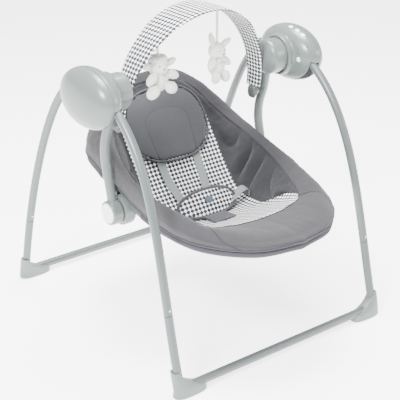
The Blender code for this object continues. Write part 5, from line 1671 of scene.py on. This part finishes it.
def stitched_face(prefix, body, centre, eyes, nose, mouth_drop):
    """Embroidered eyes, nose and mouth."""
    for k, offset in enumerate(eyes):
        eye = ball(f"look_{prefix}_eye_{k + 1}", centre + Vector(offset), (0.0019, 0.0013, 0.0021), (0, 0, 0), 16)
        place_piece(eye, MATERIALS["dark"], body, slot="black_plastic")
    tip = ball(f"look_{prefix}_nose", centre + Vector(nose), (0.0026, 0.0014, 0.0018), (0, 0, 0), 16)
    place_piece(tip, MATERIALS["dark"], body, slot="black_plastic")
    start = centre + Vector(nose)
    mouth = []
    for k in range(13):
        t = math.radians(-70 + 140 * k / 12)
        mouth.append(start + Vector((math.sin(t) * 0.0045, 0.0006, -mouth_drop + 0.0016 * (1 - math.cos(t)))))
    smile = curve_tube(f"look_{prefix}_mouth", mouth, 0.0004, 8)
    place_piece(smile, MATERIALS["dark"], body, slot="black_plastic")


LOOP_RIBBON = 0.0075  # width of the ribbon that each toy hangs on


class SWING_OT_toys(bpy.types.Operator):
    """Stuffs the lamb and the rabbit and hangs each on its loop"""

    bl_idname = "swing.toys"
    bl_label = "Soft Toys"

    def execute(self, context):
        for x, place, hang in ((-0.122, 0.700, "lamb"), (0.060, 0.706, "rabbit")):
            angle = math.acos(x / BAR_HALF_SPAN)
            top = bar_point(angle) - Z_AXIS * (BAR_THICK / 2 / math.sin(angle) + 0.0010)
            centre = Vector((top.x, top.y, place))
            getattr(self, hang)(centre)
            start, end = top + Z_AXIS * 0.0002, centre + Z_AXIS * (0.020 if hang == "lamb" else 0.018)
            loop = strap(f"look_{hang}_loop", smooth([start, start.lerp(end, 0.5), end], 8), LOOP_RIBBON, 0.0014)
            place_piece(loop, MATERIALS["plush"], hang, slot="plush")
            low, high = top + Vector((-0.006, -0.003, -0.004)), top + Vector((0.006, 0.003, 0.0002))
            keeper = box("keeper", low, high, 0.001, 2)
            keeper.name = f"look_{hang}_keeper"
            place_piece(keeper, MATERIALS["dark"], hang, slot="black_plastic")
            smooth_shade(keeper)
        return {"FINISHED"}

    @staticmethod
    def lamb(centre):
        def at(x, y, z):
            return centre + Vector((x, y, z))

        parts = [
            (at(0, 0, 0), (0.0280, 0.0235, 0.0235), (0, 0, 0)),
            (at(0.001, -0.013, -0.005), (0.0165, 0.0150, 0.0135), (0, 0, 0)),
            (at(0.002, 0.004, -0.042), (0.0275, 0.0235, 0.0270), (0, 0, 0)),
            (at(-0.035, -0.002, 0.003), (0.0175, 0.0070, 0.0090), (0, 0.45, 0.2)),
            (at(0.036, -0.002, 0.003), (0.0175, 0.0070, 0.0090), (0, -0.45, -0.2)),
            (at(-0.028, -0.014, -0.028), (0.0115, 0.0105, 0.0190), (0, 0.85, 0)),
            (at(0.034, -0.012, -0.026), (0.0120, 0.0105, 0.0210), (0, -1.10, 0)),
            (at(-0.028, -0.019, -0.061), (0.0140, 0.0150, 0.0200), (0.5, 0.55, 0)),
            (at(0.027, -0.019, -0.058), (0.0145, 0.0150, 0.0200), (0.6, -0.75, 0)),
        ]
        for k in range(11):
            # The woolly cap is a ring of small curls with one more on top.
            a = math.tau * k / 10
            reach, rise = (0.0175, 0.0) if k < 10 else (0.0, 0.004)
            curl = at(math.cos(a) * reach, 0.002 + math.sin(a) * reach * 0.85, 0.0175 + rise)
            parts.append((curl, (0.0088, 0.0088, 0.0080), (0, 0, 0)))
        soft_toy("look_lamb", parts, 0.0016, "lamb", "lamb_toy")
        eyes = ((-0.0095, -0.0222, 0.0035), (0.0100, -0.0222, 0.0030))
        stitched_face("lamb", "lamb", centre, eyes, (0.0008, -0.0282, -0.0030), 0.0050)

    @staticmethod
    def rabbit(centre):
        def at(x, y, z):
            return centre + Vector((x, y, z))

        parts = [
            (at(0, 0, 0), (0.0235, 0.0215, 0.0215), (0, 0, 0)),
            (at(0.003, -0.013, -0.005), (0.0135, 0.0120, 0.0110), (0, 0, 0)),
            (at(0, 0.003, -0.040), (0.0235, 0.0210, 0.0270), (0, 0, 0)),
            (at(-0.015, 0.002, 0.030), (0.0085, 0.0055, 0.0215), (0, -0.30, 0)),
            (at(0.027, 0.000, 0.017), (0.0085, 0.0055, 0.0205), (0, 1.15, 0)),
            (at(-0.022, -0.010, -0.030), (0.0090, 0.0090, 0.0160), (0, 0.60, 0)),
            (at(0.023, -0.010, -0.028), (0.0090, 0.0090, 0.0160), (0, -0.75, 0)),
            (at(-0.013, -0.014, -0.066), (0.0115, 0.0130, 0.0175), (0.4, 0.1, 0)),
            (at(0.017, -0.015, -0.067), (0.0115, 0.0130, 0.0175), (0.4, -0.25, 0)),
        ]
        soft_toy("look_rabbit", parts, 0.0015, "rabbit", "rabbit_toy")
        eyes = ((-0.0065, -0.0200, 0.0035), (0.0105, -0.0195, 0.0035))
        stitched_face("rabbit", "rabbit", centre, eyes, (0.0030, -0.0255, -0.0035), 0.0042)
        knot = at(0.001, -0.0205, -0.0195)
        wings = [(knot + Vector((s * 0.0085, 0, 0)), (0.0085, 0.0030, 0.0050), (0, s * 0.25, 0)) for s in (-1, 1)]
        wings.append((knot, (0.0032, 0.0034, 0.0034), (0, 0, 0)))
        bow = joined("look_rabbit_bow", [ball("part", *wing, 24) for wing in wings])
        blended(bow, 0.0009, 2)
        place_piece(bow, MATERIALS["webbing_soft"], "rabbit", slot="plush")
        smooth_shade(bow, 80)


# ================================================================ stage
class SWING_OT_inner_parts(bpy.types.Operator):
    """Gives the pieces inside the hubs their own finishes"""

    bl_idname = "swing.inner_parts"
    bl_label = "Inner Parts"

    def execute(self, context):
        finishes = {
            "steel": ("left_axle", "right_axle"),
            "dark": (
                "left_axle_bush",
                "right_axle_bush",
                "left_fold_knuckle",
                "right_fold_knuckle",
                "magnet_lever",
                "speaker",
            ),
            "copper": ("drive_coil",),
            "board": ("circuit_board",),
            "cell": ("battery_cell_1", "battery_cell_2", "battery_cell_3"),
        }
        for finish, names in finishes.items():
            for name in names:
                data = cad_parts[name].data
                data.materials.clear()
                data.materials.append(MATERIALS[finish])
        return {"FINISHED"}


class SWING_OT_stage(bpy.types.Operator):
    """Builds the floor, the soft lights and the camera"""

    bl_idname = "swing.stage"
    bl_label = "Stage"

    def execute(self, context):
        deselect()
        bpy.ops.mesh.primitive_plane_add(size=40, location=(0, 0, -0.0005))
        floor = bpy.context.active_object
        floor.name = "floor"
        bake_place(floor)
        material, tree, shader = new_material("pale_floor", "#F7F7F7", 0.7)
        shader.inputs["Specular IOR Level"].default_value = 0.2
        place = node(tree, "ShaderNodeTexCoord").outputs["Object"]
        cloud = node(tree, "ShaderNodeTexNoise", {"Vector": place, "Scale": 1.5})
        tint = mixed(tree, cloud.outputs["Fac"], linear("#F6F6F6"), linear("#F9F9F9"))
        tree.links.new(tint, shader.inputs["Base Color"])
        shader.inputs["Emission Color"].default_value = linear("#FFFFFF")
        shader.inputs["Emission Strength"].default_value = 3.0
        floor.data.materials.append(material)

        world = bpy.data.worlds.new("studio")
        context.scene.world = world
        world.use_nodes = True
        background = world.node_tree.nodes["Background"]
        background.inputs["Color"].default_value = (1.0, 1.0, 1.0, 1)
        background.inputs["Strength"].default_value = 1.35
        for name, place, size, energy in (
            ("key", (-1.9, -0.9, 2.3), 0.7, 200),
            ("fill", (2.4, -2.4, 1.6), 1.0, 55),
            ("top", (0.2, 0.3, 2.8), 1.2, 240),
        ):
            deselect()
            bpy.ops.object.light_add(type="AREA", location=place)
            light = bpy.context.active_object
            light.name = name
            light.data.size, light.data.energy = size, energy
            light.rotation_euler = (Vector((0, 0, 0.4)) - Vector(place)).to_track_quat("-Z", "Y").to_euler()

        yaw, pitch = math.radians(37.2548), math.radians(24.4997)
        look = Vector((math.sin(yaw) * math.cos(pitch), math.cos(yaw) * math.cos(pitch), -math.sin(pitch)))
        bpy.ops.object.camera_add(location=sizes().camera_place, rotation=look.to_track_quat("-Z", "Y").to_euler())
        camera = bpy.context.active_object
        camera.name = "camera"
        camera.data.lens, camera.data.sensor_width = sizes().camera_lens, 36
        context.scene.camera = camera
        return {"FINISHED"}


class SWING_PT_panel(bpy.types.Panel):
    """Lists the swing's pieces"""

    bl_idname = "SWING_PT_panel"
    bl_label = "Baby Swing"
    bl_space_type = "VIEW_3D"
    bl_region_type = "UI"
    bl_category = "Swing"

    def draw(self, context):
        column = self.layout.column()
        for operator in OPERATORS:
            column.operator(operator.bl_idname)


OPERATORS = (
    SWING_OT_frame,
    SWING_OT_hubs,
    SWING_OT_arms,
    SWING_OT_seat_tubes,
    SWING_OT_seat,
    SWING_OT_pads,
    SWING_OT_toy_bar,
    SWING_OT_toys,
    SWING_OT_inner_parts,
    SWING_OT_stage,
)


def register():
    for kind in (SwingColours, SwingSizes, *OPERATORS, SWING_PT_panel):
        bpy.utils.register_class(kind)
    bpy.types.Scene.swing_colours = PointerProperty(type=SwingColours)
    bpy.types.Scene.swing_sizes = PointerProperty(type=SwingSizes)


def unregister():
    del bpy.types.Scene.swing_colours
    del bpy.types.Scene.swing_sizes
    for kind in reversed((SwingColours, SwingSizes, *OPERATORS, SWING_PT_panel)):
        bpy.utils.unregister_class(kind)


def main():
    register()
    make_materials()
    for operator in OPERATORS:
        name = operator.bl_idname.split(".")[1]
        getattr(bpy.ops.swing, name)()


if __name__ == "__main__":
    main()
